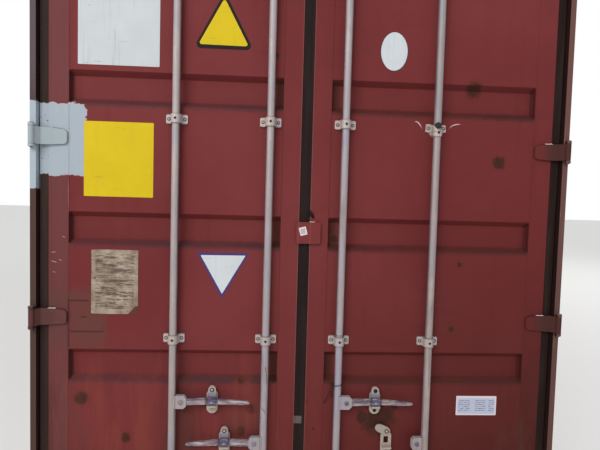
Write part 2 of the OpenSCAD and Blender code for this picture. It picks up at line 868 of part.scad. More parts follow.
// The guide that was hit: its strap is bent down between its ears and bares the bar in a notch.
module bent_guide() {
    ear = guide_width / 2;
    top = guide_height / 2 - 3;
    low = -guide_height / 2 + 5;
    difference() {
        intersection() {
            guide_body(low - bent_drop - 8, top);
            face_plate(-20, 100)
                polygon([[-ear + 3, top], [-ear, low], [-34, low - 3], [-16, low - bent_drop],
                    [16, low - bent_drop], [27, low - 4], [ear, low], [ear - 3, top - 2],
                    [30, top - 2], [6, low + 3 - bent_drop / 4], [-2, low + 3 - bent_drop / 4], [-26, top]]);
        }
        guide_bore();
    }
}

// The eight guides of the right leaf's two bars. One of them can be the damaged one.
module bar_guides(bent) {
    for (x = [bar_inner, bar_outer], h = guide_heights)
        translate([x, 0, door_middle + h])
        if (bent && x == bar_outer && h == guide_inner) bent_guide();
        else bar_guide();
}

// Outline of a retainer's plate: round at the foot, drawn in at the shoulders to an eye for the catch.
module retainer_outline() {
    side = retainer_width / 2;
    eye = 16;
    translate([0, side - retainer_length / 2]) circle(r = side);
    translate([0, catch_rise]) circle(r = eye);
    polygon([[-side, side - retainer_length / 2], [side, side - retainer_length / 2],
        [side, catch_rise - 20], [eye, catch_rise - 6], [eye, catch_rise], [-eye, catch_rise],
        [-eye, catch_rise - 6], [-side, catch_rise - 20]]);
}

// One handle retainer: a plate with raised edges on two bosses, a window, a shelf for the handle
// and the rivet that the catch hangs on.
module retainer() {
    front = retainer_back - 6;
    foot = 24 - retainer_length / 2;
    difference() {
        union() {
            face_plate(front, retainer_back) retainer_outline();
            for (x = [-retainer_width / 2, retainer_width / 2 - 5])
                translate([x, front - 2, -34]) cube([5, 3, catch_rise + 14]);
            for (z = [foot, catch_rise])
                translate([0, 0, z]) stud(13, retainer_back - 2, leaf_depth);
            translate([0, 0, catch_rise]) stud(6, front - 12.5, front + 1);
            translate([0, 0, catch_rise]) stud(10, front - 13.5, front - 11);
            translate([0, 0, foot]) stud(9, front - 3, front + 1);
            translate([-retainer_width / 2 + 5, bar_depth - 16, -24])
                cube([retainer_width - 10, front + 1 - bar_depth + 16, 6]);
        }
        translate([-11, front - 1, -11]) cube([22, 8, 32]);
    }
}

// The catch of a retainer, hanging from its rivet at the origin.
module catch() {
    tip = -catch_length;
    difference() {
        union() {
            stud(17, catch_front, catch_front + 5);
            face_plate(catch_front, catch_front + 5)
                polygon([[-16, 6], [16, 6], [19, -16], [19, tip + 18], [13, tip + 5], [6, tip], [-6, tip],
                    [-13, tip + 5], [-19, tip + 18], [-19, -16]]);
        }
        stud(6 + handle_clearance, catch_front - 1, catch_front + 6);
    }
}

// The forked cam at the lower end of a lock bar. Its two fingers point to the given side.
module cam(side) {
    apart = keeper_lug / 2 + cam_gap;
    foot = keeper_height - apart - cam_finger - 4;
    translate([0, 0, foot]) cylinder(r = 12, h = bar_end + 2 - foot);
    for (z = [keeper_height - apart - cam_finger, keeper_height + apart])
        translate([0, 0, z])
        linear_extrude(cam_finger)
        union() {
            circle(r = 14);
            polygon([[0, -14], [side * 30, -10], [side * (cam_reach - 4), -10], [side * cam_reach, -6],
                [side * cam_reach, 6], [side * (cam_reach - 4), 10], [side * 30, 10], [0, 14]]);
        }
}

// One lock bar with its cams and the hub that carries the handle, on the given side.
module lock_bar(side, height) {
    half = hub_height / 2;
    gap = handle_thickness / 2 + handle_clearance;
    middle = -7;
    translate([0, bar_depth, 0]) {
        translate([0, 0, bar_end]) cylinder(r = bar_radius, h = 2 * (door_middle - bar_end));
        cam(side);
        translate([0, 0, 2 * door_middle]) mirror([0, 0, 1]) cam(side);
        translate([0, 0, height]) {
            for (front = [middle - gap - hub_plate, middle + gap])
                face_plate(front, front + hub_plate)
                polygon([[side * 9, -half], [side * (hub_reach - 12), -half], [side * hub_reach, 12 - half],
                    [side * hub_reach, half - 12], [side * (hub_reach - 12), half], [side * 9, half]]);
            translate([side * handle_offset, 0, 0]) {
                stud(7, middle - gap - hub_plate - 1, middle + gap + hub_plate + 1);
                stud(11, middle - gap - hub_plate - 4, middle - gap - hub_plate);
            }
        }
    }
}

// One handle, its pivot at the origin and its grip towards X. A boss on it stands for the front of
// the catch that holds it down.
module handle() {
    middle = retainer_offset - handle_offset;
    grip = handle_length - 91;
    front = bar_depth - 7 - handle_thickness / 2;
    difference() {
        union() {
            face_plate(front, front + handle_thickness) {
                circle(r = 15);
                polygon([[0, 15], [24, 15], [70, 16], [middle - 30, 16.5], [middle, 17],
                    [middle + 17, 15.5], [middle + 46, 13.5], [grip, 9.5], [grip + 40, 6.5],
                    [grip + 76, 3], [handle_length - 5, 0.5], [handle_length, -3],
                    [handle_length, -6.5], [handle_length - 5, -10], [grip + 76, -11.5],
                    [grip + 40, -12], [grip, -12], [middle + 46, -10.5], [middle + 21, -9.5],
                    [middle, -9], [middle - 30, -11], [70, -13.5], [24, -14.5], [0, -15]]);
            }
            face_plate(front - 4, front + 1) translate([middle, 4]) cut_plate(34, 24, 8);
        }
        stud(7 + handle_clearance, front - 5, front + handle_thickness + 2);
    }
}

// Places gear beside a bar, at the given width and height.
module at_bar(x, height) {
    translate([x + bar_shift, end_y, height]) children();
}

module left_door_frame() {
    color("brown") from_door_end() mirror([1, 0, 0]) door_frame();
}

module left_door_panel() {
    color("firebrick") from_door_end() mirror([1, 0, 0]) door_panel();
}

module left_door_seal() {
    color("black") from_door_end() mirror([1, 0, 0]) door_seal();
}

module left_hinge_blades() {
    color("brown") from_door_end() mirror([1, 0, 0]) hinge_blades();
}

module left_bar_guides() {
    color("silver") from_door_end() translate([bar_shift, 0, 0]) mirror([1, 0, 0]) bar_guides(false);
}

module left_handle_retainers() {
    color("silver") {
        at_bar(-bar_outer + retainer_offset, handle_high) retainer();
        at_bar(-bar_inner - retainer_offset, handle_low) retainer();
    }
}

// One half of the plate across the meeting edges, with its outer corners cut.
module lock_plate(reach) {
    half = lock_plate_height / 2;
    translate([0, 0, door_middle])
        face_plate(leaf_depth - 12, leaf_depth)
        polygon([[4, -half], [reach - 6, -half], [reach, 6 - half], [reach, half - 6], [reach - 6, half],
            [4, half]]);
}

module left_lock_plate() {
    color("brown") from_door_end() mirror([1, 0, 0]) lock_plate(lock_plate_left);
}

module right_door_frame() {
    color("brown") from_door_end() door_frame();
}

module right_door_panel() {
    color("firebrick") from_door_end() door_panel();
}

module right_door_seal() {
    color("black") from_door_end() door_seal();
}

module right_hinge_blades() {
    color("brown") from_door_end() hinge_blades();
}

module right_bar_guides() {
    color("silver") from_door_end() translate([bar_shift, 0, 0]) bar_guides(true);
}

module right_handle_retainers() {
    color("silver") {
        at_bar(bar_inner + retainer_offset, handle_high) retainer();
        at_bar(bar_outer - retainer_offset, handle_low) retainer();
    }
}

module right_lock_plate() {
    color("brown") from_door_end() lock_plate(lock_plate_right);
}

module lock_bar_1() {
    color("silver") at_bar(-bar_outer, 0) lock_bar(1, handle_high);
}

module lock_bar_2() {
    color("silver") at_bar(-bar_inner, 0) lock_bar(-1, handle_low);
}

module lock_bar_3() {
    color("silver") at_bar(bar_inner, 0) lock_bar(1, handle_high);
}

module lock_bar_4() {
    color("silver") at_bar(bar_outer, 0) lock_bar(-1, handle_low);
}

module handle_1() {
    color("lightgray") at_bar(-bar_outer + handle_offset, handle_high) handle();
}

module handle_2() {
    color("lightgray") at_bar(-bar_inner - handle_offset, handle_low) mirror([1, 0, 0]) handle();
}

module handle_3() {
    color("lightgray") at_bar(bar_inner + handle_offset, handle_high) handle();
}

// The fourth handle hangs straight down from its hub, out of its retainer.
module handle_4() {
    color("lightgray")
        at_bar(bar_outer - handle_offset, handle_low)
        rotate([0, -90, 0])
        mirror([1, 0, 0])
        handle();
}

module catch_1() {
    color("lightgray") at_bar(-bar_outer + retainer_offset, handle_high + catch_rise) catch();
}

module catch_2() {
    color("lightgray") at_bar(-bar_inner - retainer_offset, handle_low + catch_rise) catch();
}

module catch_3() {
    color("lightgray") at_bar(bar_inner + retainer_offset, handle_high + catch_rise) catch();
}

// The fourth catch is swung up and to the left, as its handle is out.
module catch_4() {
    color("lightgray")
        at_bar(bar_outer - retainer_offset, handle_low + catch_rise)
        rotate([0, open_catch, 0])
        catch();
}

door_end_corner_castings();
front_end_corner_castings();
rear_corner_posts();
front_corner_posts();
door_header();
door_sill();
cam_keepers();
hinge_lugs();
hinge_pins();
top_side_rails();
bottom_side_rails();
front_top_rail();
front_bottom_rail();
left_side_wall();
right_side_wall();
front_wall();
roof_sheet();
vents();
cross_members();
tunnel_outriggers();
gooseneck_tunnel();
floor_boards();
left_door_frame();
left_door_panel();
left_door_seal();
left_hinge_blades();
left_bar_guides();
left_handle_retainers();
left_lock_plate();
right_door_frame();
right_door_panel();
right_door_seal();
right_hinge_blades();
right_bar_guides();
right_handle_retainers();
right_lock_plate();
lock_bar_1();
lock_bar_2();
lock_bar_3();
lock_bar_4();
handle_1();
handle_2();
handle_3();
handle_4();
catch_1();
catch_2();
catch_3();
catch_4();
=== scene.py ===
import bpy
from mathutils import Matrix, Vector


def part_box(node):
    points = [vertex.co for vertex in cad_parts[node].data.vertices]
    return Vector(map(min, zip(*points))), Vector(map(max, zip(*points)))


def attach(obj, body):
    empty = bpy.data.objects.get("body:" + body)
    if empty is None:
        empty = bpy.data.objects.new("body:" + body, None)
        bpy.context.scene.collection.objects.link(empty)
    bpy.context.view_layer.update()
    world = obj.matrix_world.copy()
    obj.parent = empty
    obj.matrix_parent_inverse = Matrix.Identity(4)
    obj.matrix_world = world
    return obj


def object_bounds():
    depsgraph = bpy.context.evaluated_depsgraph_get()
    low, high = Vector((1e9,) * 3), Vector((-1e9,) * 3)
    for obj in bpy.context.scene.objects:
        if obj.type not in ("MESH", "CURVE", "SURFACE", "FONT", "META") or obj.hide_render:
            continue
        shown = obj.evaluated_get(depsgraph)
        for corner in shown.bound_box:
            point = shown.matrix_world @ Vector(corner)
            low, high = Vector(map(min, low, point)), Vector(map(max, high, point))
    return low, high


bl_info = {
    "name": "High-cube freight container",
    "version": (1, 0, 0),
    "blender": (4, 5, 0),
    "location": "View3D > Sidebar > Container",
    "description": "Paint, rubber, rust, plates and fasteners for a steel freight container",
    "category": "Object",
}

import math

import bpy
import numpy as np
from mathutils import Matrix, Vector

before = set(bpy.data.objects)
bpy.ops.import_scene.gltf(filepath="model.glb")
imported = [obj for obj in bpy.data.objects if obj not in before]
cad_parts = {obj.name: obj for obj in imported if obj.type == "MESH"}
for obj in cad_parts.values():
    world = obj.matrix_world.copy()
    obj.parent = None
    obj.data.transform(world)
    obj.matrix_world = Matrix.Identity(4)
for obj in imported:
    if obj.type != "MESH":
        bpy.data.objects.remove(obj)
CAD_BOX = [[float(v) for v in corner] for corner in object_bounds()]

END = CAD_BOX[0][1]  # the door end plane
LEAF = END + 0.062  # the face of the doors
STRAP_FRONT = END + 0.0077  # the front of a bar guide's strap
DOOR_MIDDLE = 1.4475
HINGE_HEIGHTS = [DOOR_MIDDLE + h for h in (-1.2, -0.402, 0.402, 1.2)]
GUIDE_HEIGHTS = [DOOR_MIDDLE + h for h in (-1.15, -0.494, 0.494, 1.15)]
HINGE_X = 1.2
GROOVES = (DOOR_MIDDLE - 0.625, DOOR_MIDDLE, DOOR_MIDDLE + 0.625)
PANEL_INNER, PANEL_OUTER = 0.109, 1.0565  # the panel's edges, from the middle of the door end
# A hinge blade's edge on its door, from the hinge's axis inwards and from the blade's middle up.
BLADE_EDGE = ((0.0765, 0.0373), (0.122, 0.03), (0.134, 0.025), (0.139, 0.016), (0.139, -0.02),
              (0.134, -0.029), (0.122, -0.034), (0.0765, -0.0372))
SIDES = (("left", -1), ("right", 1))
BARS = {1: (-0.583, 1, 0.669), 2: (-0.1655, -1, 0.477), 3: (0.1725, 1, 0.669), 4: (0.59, -1, 0.477)}
HANDLE_OFFSET = 0.041
RETAINER_OFFSET = 0.179
CATCH_RISE = 0.05
BEAMS = (29, END + 0.178 + 0.06, 0.305, 0.03, 8)  # count, first web, pitch, inner screw, screws a side
OUTRIGGERS = (11, -END - 3.315 + 0.04, 0.29, 0.56, 5)
FLANGE_MIDDLE = 0.022


# Shader expressions.


class Value:
    """A node socket that can stand in a Python expression. Each operator adds the Math node it names."""

    def __init__(self, sheet, socket):
        self.sheet = sheet
        self.socket = socket

    def _math(self, operation, *others):
        return self.sheet.node("ShaderNodeMath", {"operation": operation},
                               dict(enumerate((self,) + others)))

    def _swapped(self, operation, other):
        return self.sheet.node("ShaderNodeMath", {"operation": operation}, {0: other, 1: self})

    def __add__(self, other):
        return self._math("ADD", other)

    __radd__ = __add__

    def __sub__(self, other):
        return self._math("SUBTRACT", other)

    def __rsub__(self, other):
        return self._swapped("SUBTRACT", other)

    def __mul__(self, other):
        return self._math("MULTIPLY", other)

    __rmul__ = __mul__

    def __pow__(self, other):
        return self._math("POWER", other)

    def __abs__(self):
        return self._math("ABSOLUTE")

    def __or__(self, other):
        return self._math("MAXIMUM", other)

    def __and__(self, other):
        return self._math("MINIMUM", other)

    def root(self):
        return self._math("SQRT")

    def wave(self):
        return self._math("SINE")

    def rise(self, low, high):
        """0 below low, 1 above high, smooth between them."""
        return self.sheet.node(
            "ShaderNodeMapRange",
            {"interpolation_type": "SMOOTHSTEP", "clamp": True},
            {"Value": self, "From Min": low, "From Max": high, "To Min": 0.0, "To Max": 1.0},
        )

    def between(self, low, high, soft):
        """1 from low to high, falling to 0 over the soft width on both sides."""
        return self.rise(low - soft, low + soft) * (1.0 - self.rise(high - soft, high + soft))


class Sheet:
    """One material: its node tree, and the one method that adds a node."""

    def __init__(self, name):
        self.material = bpy.data.materials.new(name)
        self.material.use_nodes = True
        self.tree = self.material.node_tree
        self.tree.nodes.clear()
        self.shader = self.tree.nodes.new("ShaderNodeBsdfPrincipled")
        out = self.tree.nodes.new("ShaderNodeOutputMaterial")
        self.tree.links.new(self.shader.outputs["BSDF"], out.inputs["Surface"])
        self.vector = self.node("ShaderNodeTexCoord", output="Object")
        self.colour = None

    def feed(self, socket, value):
        """Links a value to a socket, or sets the socket to a number or a colour."""
        if isinstance(value, Value):
            self.tree.links.new(value.socket, socket)
            return
        size = len(socket.default_value) if hasattr(socket.default_value, "__len__") else 0
        if size and not isinstance(value, tuple):
            value = [value] * size
        elif size == 4 and len(value) == 3:
            value = value + (1.0,)
        socket.default_value = value

    def node(self, kind, settings=None, inputs=None, output=0):
        """Adds a node of a kind, with its settings first, then the values or links of its sockets."""
        made = self.tree.nodes.new(kind)
        for key, value in (settings or {}).items():
            setattr(made, key, value)
        for key, value in (inputs or {}).items():
            self.feed(made.inputs[key], value)
        return Value(self, made.outputs[output])

    def split(self, vector):
        """The three values of a vector."""
        made = self.tree.nodes.new("ShaderNodeSeparateXYZ")
        self.feed(made.inputs[0], vector)
        return tuple(Value(self, socket) for socket in made.outputs)

    def facing(self):
        """How far the surface faces along the object's Y: -1 is outwards at the door end, 1 is inwards."""
        return self.split(self.node("ShaderNodeTexCoord", output="Normal"))[1]

    def place(self):
        """The object coordinates as three values."""
        return self.split(self.vector)

    def stretched(self, x, y, z):
        """The object coordinates times a factor for each axis."""
        return self.node("ShaderNodeMapping", {}, {"Vector": self.vector, "Scale": (x, y, z)})

    def noise(self, scale, detail=3.0, rough=0.55, distortion=0.0):
        """Noise over the object coordinates. A scale of three values stretches it."""
        inputs = {"Vector": self.vector, "Scale": scale}
        if isinstance(scale, tuple):
            inputs = {"Vector": self.stretched(*scale), "Scale": 1.0}
        inputs.update({"Detail": detail, "Roughness": rough, "Distortion": distortion})
        return self.node("ShaderNodeTexNoise", {}, inputs)

    def mix(self, mask, low, high):
        """One colour where the mask is 0, the other where it is 1."""
        made = self.tree.nodes.new("ShaderNodeMix")
        made.data_type = "RGBA"
        made.clamp_factor = True
        self.feed(made.inputs[0], mask)
        self.feed(made.inputs[6], low)
        self.feed(made.inputs[7], high)
        return Value(self, made.outputs[2])

    def coat(self, mask, *over):
        """Lays a colour over the sheet's where the mask is 1: a socket, a colour or three screen values."""
        self.colour = self.mix(mask, self.colour, tone(*over) if len(over) == 3 else over[0])

    def bump(self, height, distance, strength=1.0):
        return self.node("ShaderNodeBump", {},
                         {"Height": height, "Distance": distance, "Strength": strength})

    def finish(self, colour, roughness, normal=None, **constants):
        self.feed(self.shader.inputs["Base Color"], colour)
        self.feed(self.shader.inputs["Roughness"], roughness)
        if normal is not None:
            self.feed(self.shader.inputs["Normal"], normal)
        for key, value in constants.items():
            self.feed(self.shader.inputs[key.replace("_", " ")], value)
        return self.material


def tone(r, g, b):
    """A colour given as 0 to 255 screen values, as the shader's linear values."""
    out = []
    for v in (r, g, b):
        v = v / 255.0
        out.append(v / 12.92 if v <= 0.04045 else ((v + 0.055) / 1.055) ** 2.4)
    return tuple(out)


def scaled(colour, *factors):
    """A colour times each factor in turn. A factor is a number or three."""
    out = np.array(tuple(colour), float)
    for factor in factors:
        out = out * factor
    return tuple(out.tolist())


# Finishes.

MAROON = tone(112, 43, 44)
MAROON_PALE = tone(122, 52, 53)
MAROON_DEEP = tone(90, 34, 33)
RUST = tone(94, 50, 28)
RUST_DARK = tone(46, 28, 22)
PATCH_GREY = tone(171, 182, 192)
ZINC = tone(179, 167, 165)
PATCH_SIDE = -1.3  # beyond the container's side, so that only the inner edge shows
PATCH_ON_DOOR = (-0.984, 1.677, 1.995)  # inner edge on X, foot and head on Z
PATCH_ON_POST = (-1.183, 1.616, 1.999)
SPOTS = (  # rust stains on the doors: middle on X and Z, radius
    (-0.995, 0.667, 0.036), (-0.8, 0.48, 0.026), (-0.277, 0.512, 0.026), (-0.272, 0.752, 0.022),
    (-0.122, 0.758, 0.018), (-0.226, 0.618, 0.026), (0.034, 0.657, 0.006), (0.068, 0.526, 0.007),
    (0.772, 2.126, 0.04), (0.898, 1.794, 0.034), (0.732, 1.314, 0.013), (0.704, 1.008, 0.017),
    (0.374, 0.574, 0.085), (0.3, 0.585, 0.04), (0.452, 0.64, 0.022), (-0.15, 2.24, 0.016),
    (0.14, 1.42, 0.02),
)


def patch_mask(sheet, x, y, z, depth=0.078):
    """The pale patch painted over the upper left hinge: a box on X and Z, its edges waved by noise."""
    ragged = (sheet.noise(26.0, 4.0, 0.65) - 0.5) * 0.052
    edge, foot, head = PATCH_ON_DOOR
    on_door = (x + ragged).between(PATCH_SIDE, edge, 0.0025) * (z + ragged).between(foot, head, 0.0025)
    edge, foot, head = PATCH_ON_POST
    on_post = x.between(PATCH_SIDE, edge, 0.001) * (z + ragged * 0.5).between(foot, head, 0.0025)
    return (on_door | on_post) * (1.0 - y.rise(END + depth, END + depth + 0.005))


def nearest_spot(sheet, x, z):
    """How far the nearest stain of the list is, as a share of its radius, with a ragged edge from noise."""
    wave = (sheet.noise(24.0, 5.0, 0.7) - 0.5) * 1.7
    nearest = None
    for cx, cz, radius in SPOTS:
        away = ((x - cx) ** 2.0 + (z - cz) ** 2.0).root() * (1.0 / radius)
        nearest = away if nearest is None else nearest & away
    return nearest + wave


def weathered_paint(name, looks, doors=True, posts=False, black_shade=0.0):
    """Red-brown paint: slow fading, rain streaks, dirt and painted shade in the hollows, painted shade
    towards the doors' lower right, chips down to rust.
    """
    s = Sheet(name)
    x, y, z = s.place()
    fading = s.noise(1.1, 4.0, 0.6)
    speckle = s.noise(55.0, 3.0, 0.6)
    rain = s.noise((17.0, 17.0, 0.7), 4.0, 0.6)
    smear = s.noise((2.2, 2.2, 7.0), 5.0, 0.65)
    s.colour = s.mix(fading.rise(0.32, 0.7), tuple(looks.paint), tuple(looks.faded))
    s.coat(rain.rise(0.52, 0.78) * looks.streaks * 0.6, tuple(looks.deep))
    s.coat(smear.rise(0.58, 0.76) * 0.35, 84, 44, 42)
    s.coat(speckle.rise(0.62, 0.8) * 0.16, 150, 92, 88)
    chips = s.noise(34.0, 6.0, 0.72).rise(0.705, 0.735) * s.noise(2.6, 2.0).rise(0.46, 0.62)
    rust_colour = s.mix(s.noise(90.0, 3.0), RUST_DARK, RUST)
    height = speckle * 0.25 + s.noise(420.0, 2.0) * 0.12
    roughness = 0.58 + rain * 0.16
    if doors:
        plain = s.colour
        # Painted shade: the doors darken towards the right and towards their foot.
        shade = x.rise(-0.7, 1.2) * (1.0 - z.rise(0.2, 1.78)) * 0.88 + (1.0 - z.rise(0.1, 0.7)) * 0.15
        s.coat(shade, 74, 25, 20)
        s.coat((1.0 - x.rise(-1.058, -1.055)) * 0.3, 98, 78, 80)
        # Painted shade on the right stile's outer side, low down.
        s.coat(x.rise(1.055, 1.06) * (1.0 - z.rise(0.7, 1.2)) * 0.3, 64, 28, 22)
        # Painted shade in the recesses: faces set back behind the door face are darker.
        s.coat(y.rise(LEAF + 0.004, LEAF + 0.026) * 0.12, 88, 36, 36)
        ragged = (s.noise(30.0, 4.0) - 0.5) * 0.05
        panel = abs(x).between(PANEL_INNER, PANEL_OUTER, 0.001)
        dirt = s.mix(x.rise(-0.2, 0.2), tone(80, 46, 50), tone(76, 38, 34))
        for centre in GROOVES:
            foot = (z + ragged * 0.4).between(centre - 0.084, centre - 0.052, 0.009) * panel
            s.coat(foot * (0.6 + smear.rise(0.35, 0.65) * 0.38), dirt)
            # Painted shade on each groove's upper slope, which faces down.
            shaded_brow = z.between(centre + 0.052, centre + 0.071, 0.003) * panel
            s.coat(shaded_brow * 0.28, 80, 22, 24)
            # The grooves' ends are darker: by the middle stiles painted shade with dirt, by the outer stiles
            # painted shade.
            groove = z.between(centre - 0.07, centre + 0.068, 0.004)
            inner = abs(x + ragged * 0.3).between(PANEL_INNER, 0.15, 0.014) * panel
            s.coat(inner * groove * 0.75, 72, 38, 28)
            s.coat(abs(x).between(1.044, 1.058, 0.004) * groove * 0.7, 66, 32, 28)
        raised = 1.0 - y.rise(LEAF - 0.009, LEAF - 0.004)
        blades = raised * abs(x).rise(1.0, 1.02)
        s.coat(blades * (0.25 + abs(x).rise(1.095, 1.14) * 0.65), 72, 44, 40)
        smoke = (x + ragged).between(-1.3, -0.89, 0.025) * (z + ragged).between(0.9, 1.165, 0.03)
        smoke = smoke * (0.7 + s.noise((7.0, 7.0, 11.0), 4.0, 0.6).rise(0.3, 0.62) * 0.3)
        s.coat(smoke * 0.72, 98, 62, 58)
        for level, start, reach in ((1.1165, -1.056, -0.968), (1.0415, -1.003, -0.978),
                                    (0.975, -1.052, -0.9)):
            wavy = z + ragged * 0.12
            line = wavy.between(level - 0.003, level + 0.003, 0.003) * x.between(start, reach, 0.008)
            s.coat(line * 0.8, 60, 29, 28)
        side = x.between(-1.062, -1.051, 0.005) * z.between(0.9, 1.125, 0.02)
        side = side | (x.between(-0.905, -0.901, 0.006) * z.between(0.975, 1.02, 0.008) * 0.7)
        s.coat(side * 0.55, 70, 36, 33)
        # Painted shadow behind the window of the retainer on the right door's outer bar: near black.
        window_shadow = ((x - BARS[4][0] + RETAINER_OFFSET) ** 2.0 + (z - BARS[4][2] - 0.004) ** 2.0).root()
        s.coat((1.0 - window_shadow.rise(0.018, 0.026)) * 0.9, 24, 14, 13)
        stain = nearest_spot(s, x, z)
        s.coat((1.0 - stain.rise(0.8, 1.7)) * 0.3, 104, 48, 34)
        blot = s.mix(s.noise(60.0), tone(42, 24, 20), tone(74, 40, 28))
        s.coat((1.0 - stain.rise(0.5, 1.15)) * 0.92, blot)
        # A pale line along the doors' meeting edges: painted highlight, with some wear.
        s.coat(abs(x).between(0.025, 0.028, 0.0008) * 0.45, 138, 98, 88)
        dusty = (1.0 - z.rise(0.45, 0.95)) * s.noise((5.0, 5.0, 1.2), 5.0, 0.7).rise(0.48, 0.68)
        s.coat(dusty * 0.4, 92, 60, 50)
        bands = s.noise((7.0, 7.0, 0.9), 4.0, 0.65)
        low = (1.0 - z.rise(0.55, 1.05)) * (1.0 - x.rise(-0.3, 0.3))
        s.coat(bands.rise(0.5, 0.64) * low * 0.6, 130, 62, 52)
        s.coat((1.0 - bands.rise(0.36, 0.49)) * low * 0.7, 86, 48, 42)
        patch = patch_mask(s, x, y, z)
        brushed = s.noise((60.0, 60.0, 5.0), 4.0, 0.6)
        pale = s.mix(brushed, scaled(looks.patch, 0.9), tuple(looks.patch))
        pale = s.mix(raised * 0.6, pale, tone(160, 172, 174))
        s.coat(chips * (1.0 - patch), rust_colour)
        # Painted shade: the beads' share darkens the whole sheet so that weld beads show as dark lines, and
        # thins the patch over them.
        s.coat(black_shade, 46, 29, 27)
        s.coat(patch * (1.0 - black_shade * 0.9), pale)
        s.coat((patch * (1.0 - patch) * 3.6).rise(0.25, 0.8) * 0.75, 214, 196, 204)
        s.coat(s.facing().rise(0.15, 0.45), plain)
        height = height - chips * 0.5 + patch * (0.8 + brushed * 0.6)
    else:
        if posts:
            front = 1.0 - y.rise(LEAF - 0.02, LEAF - 0.012)
            right = x.rise(-0.1, 0.1)
            brown = s.mix(rain, tone(62, 43, 38), tone(92, 69, 62))
            brown = s.mix(z.rise(1.9, 2.2) * (1.0 - right) * 0.8, brown, tone(94, 83, 91))
            # The right post pinker, and lighter towards its top as painted highlight; glare adds flecks of
            # painted highlight.
            brown = s.mix(right * (0.45 + z.rise(0.6, 2.2) * 0.35), brown, tone(118, 80, 76))
            glare = s.noise((90.0, 90.0, 5.0), 3.0).rise(0.62, 0.7)
            brown = s.mix(right * glare * z.rise(0.4, 1.4) * 0.5, brown, tone(176, 140, 132))
            s.coat(front, brown)
            # Painted shade on the posts' inner sides, in the gap beside the doors: near black.
            inner = 1.0 - abs(x).rise(1.1892, 1.1898)
            s.coat(inner * z.between(0.1, 2.8, 0.03) * 0.96, 33, 21, 19)
            patch = patch_mask(s, x, y, z, 0.12)
            s.coat(patch, tuple(looks.patch))
            chips = chips * (1.0 - patch)
        low = 1.0 - z.rise(0.16, 0.75)
        seep = low * s.noise((3.0, 9.0, 0.9), 5.0, 0.7).rise(0.5, 0.72)
        s.coat(seep * 0.45, 78, 44, 34)
        high = z.rise(2.5, 2.8) * s.noise((3.0, 12.0, 0.5), 5.0, 0.7).rise(0.52, 0.7)
        s.coat(high * 0.35, 74, 40, 34)
        s.coat(chips, rust_colour)
        height = height - chips * 0.5
    return s.finish(s.colour, roughness + chips * 0.25, s.bump(height, 0.0012, 0.8),
                    Specular_IOR_Level=0.16)


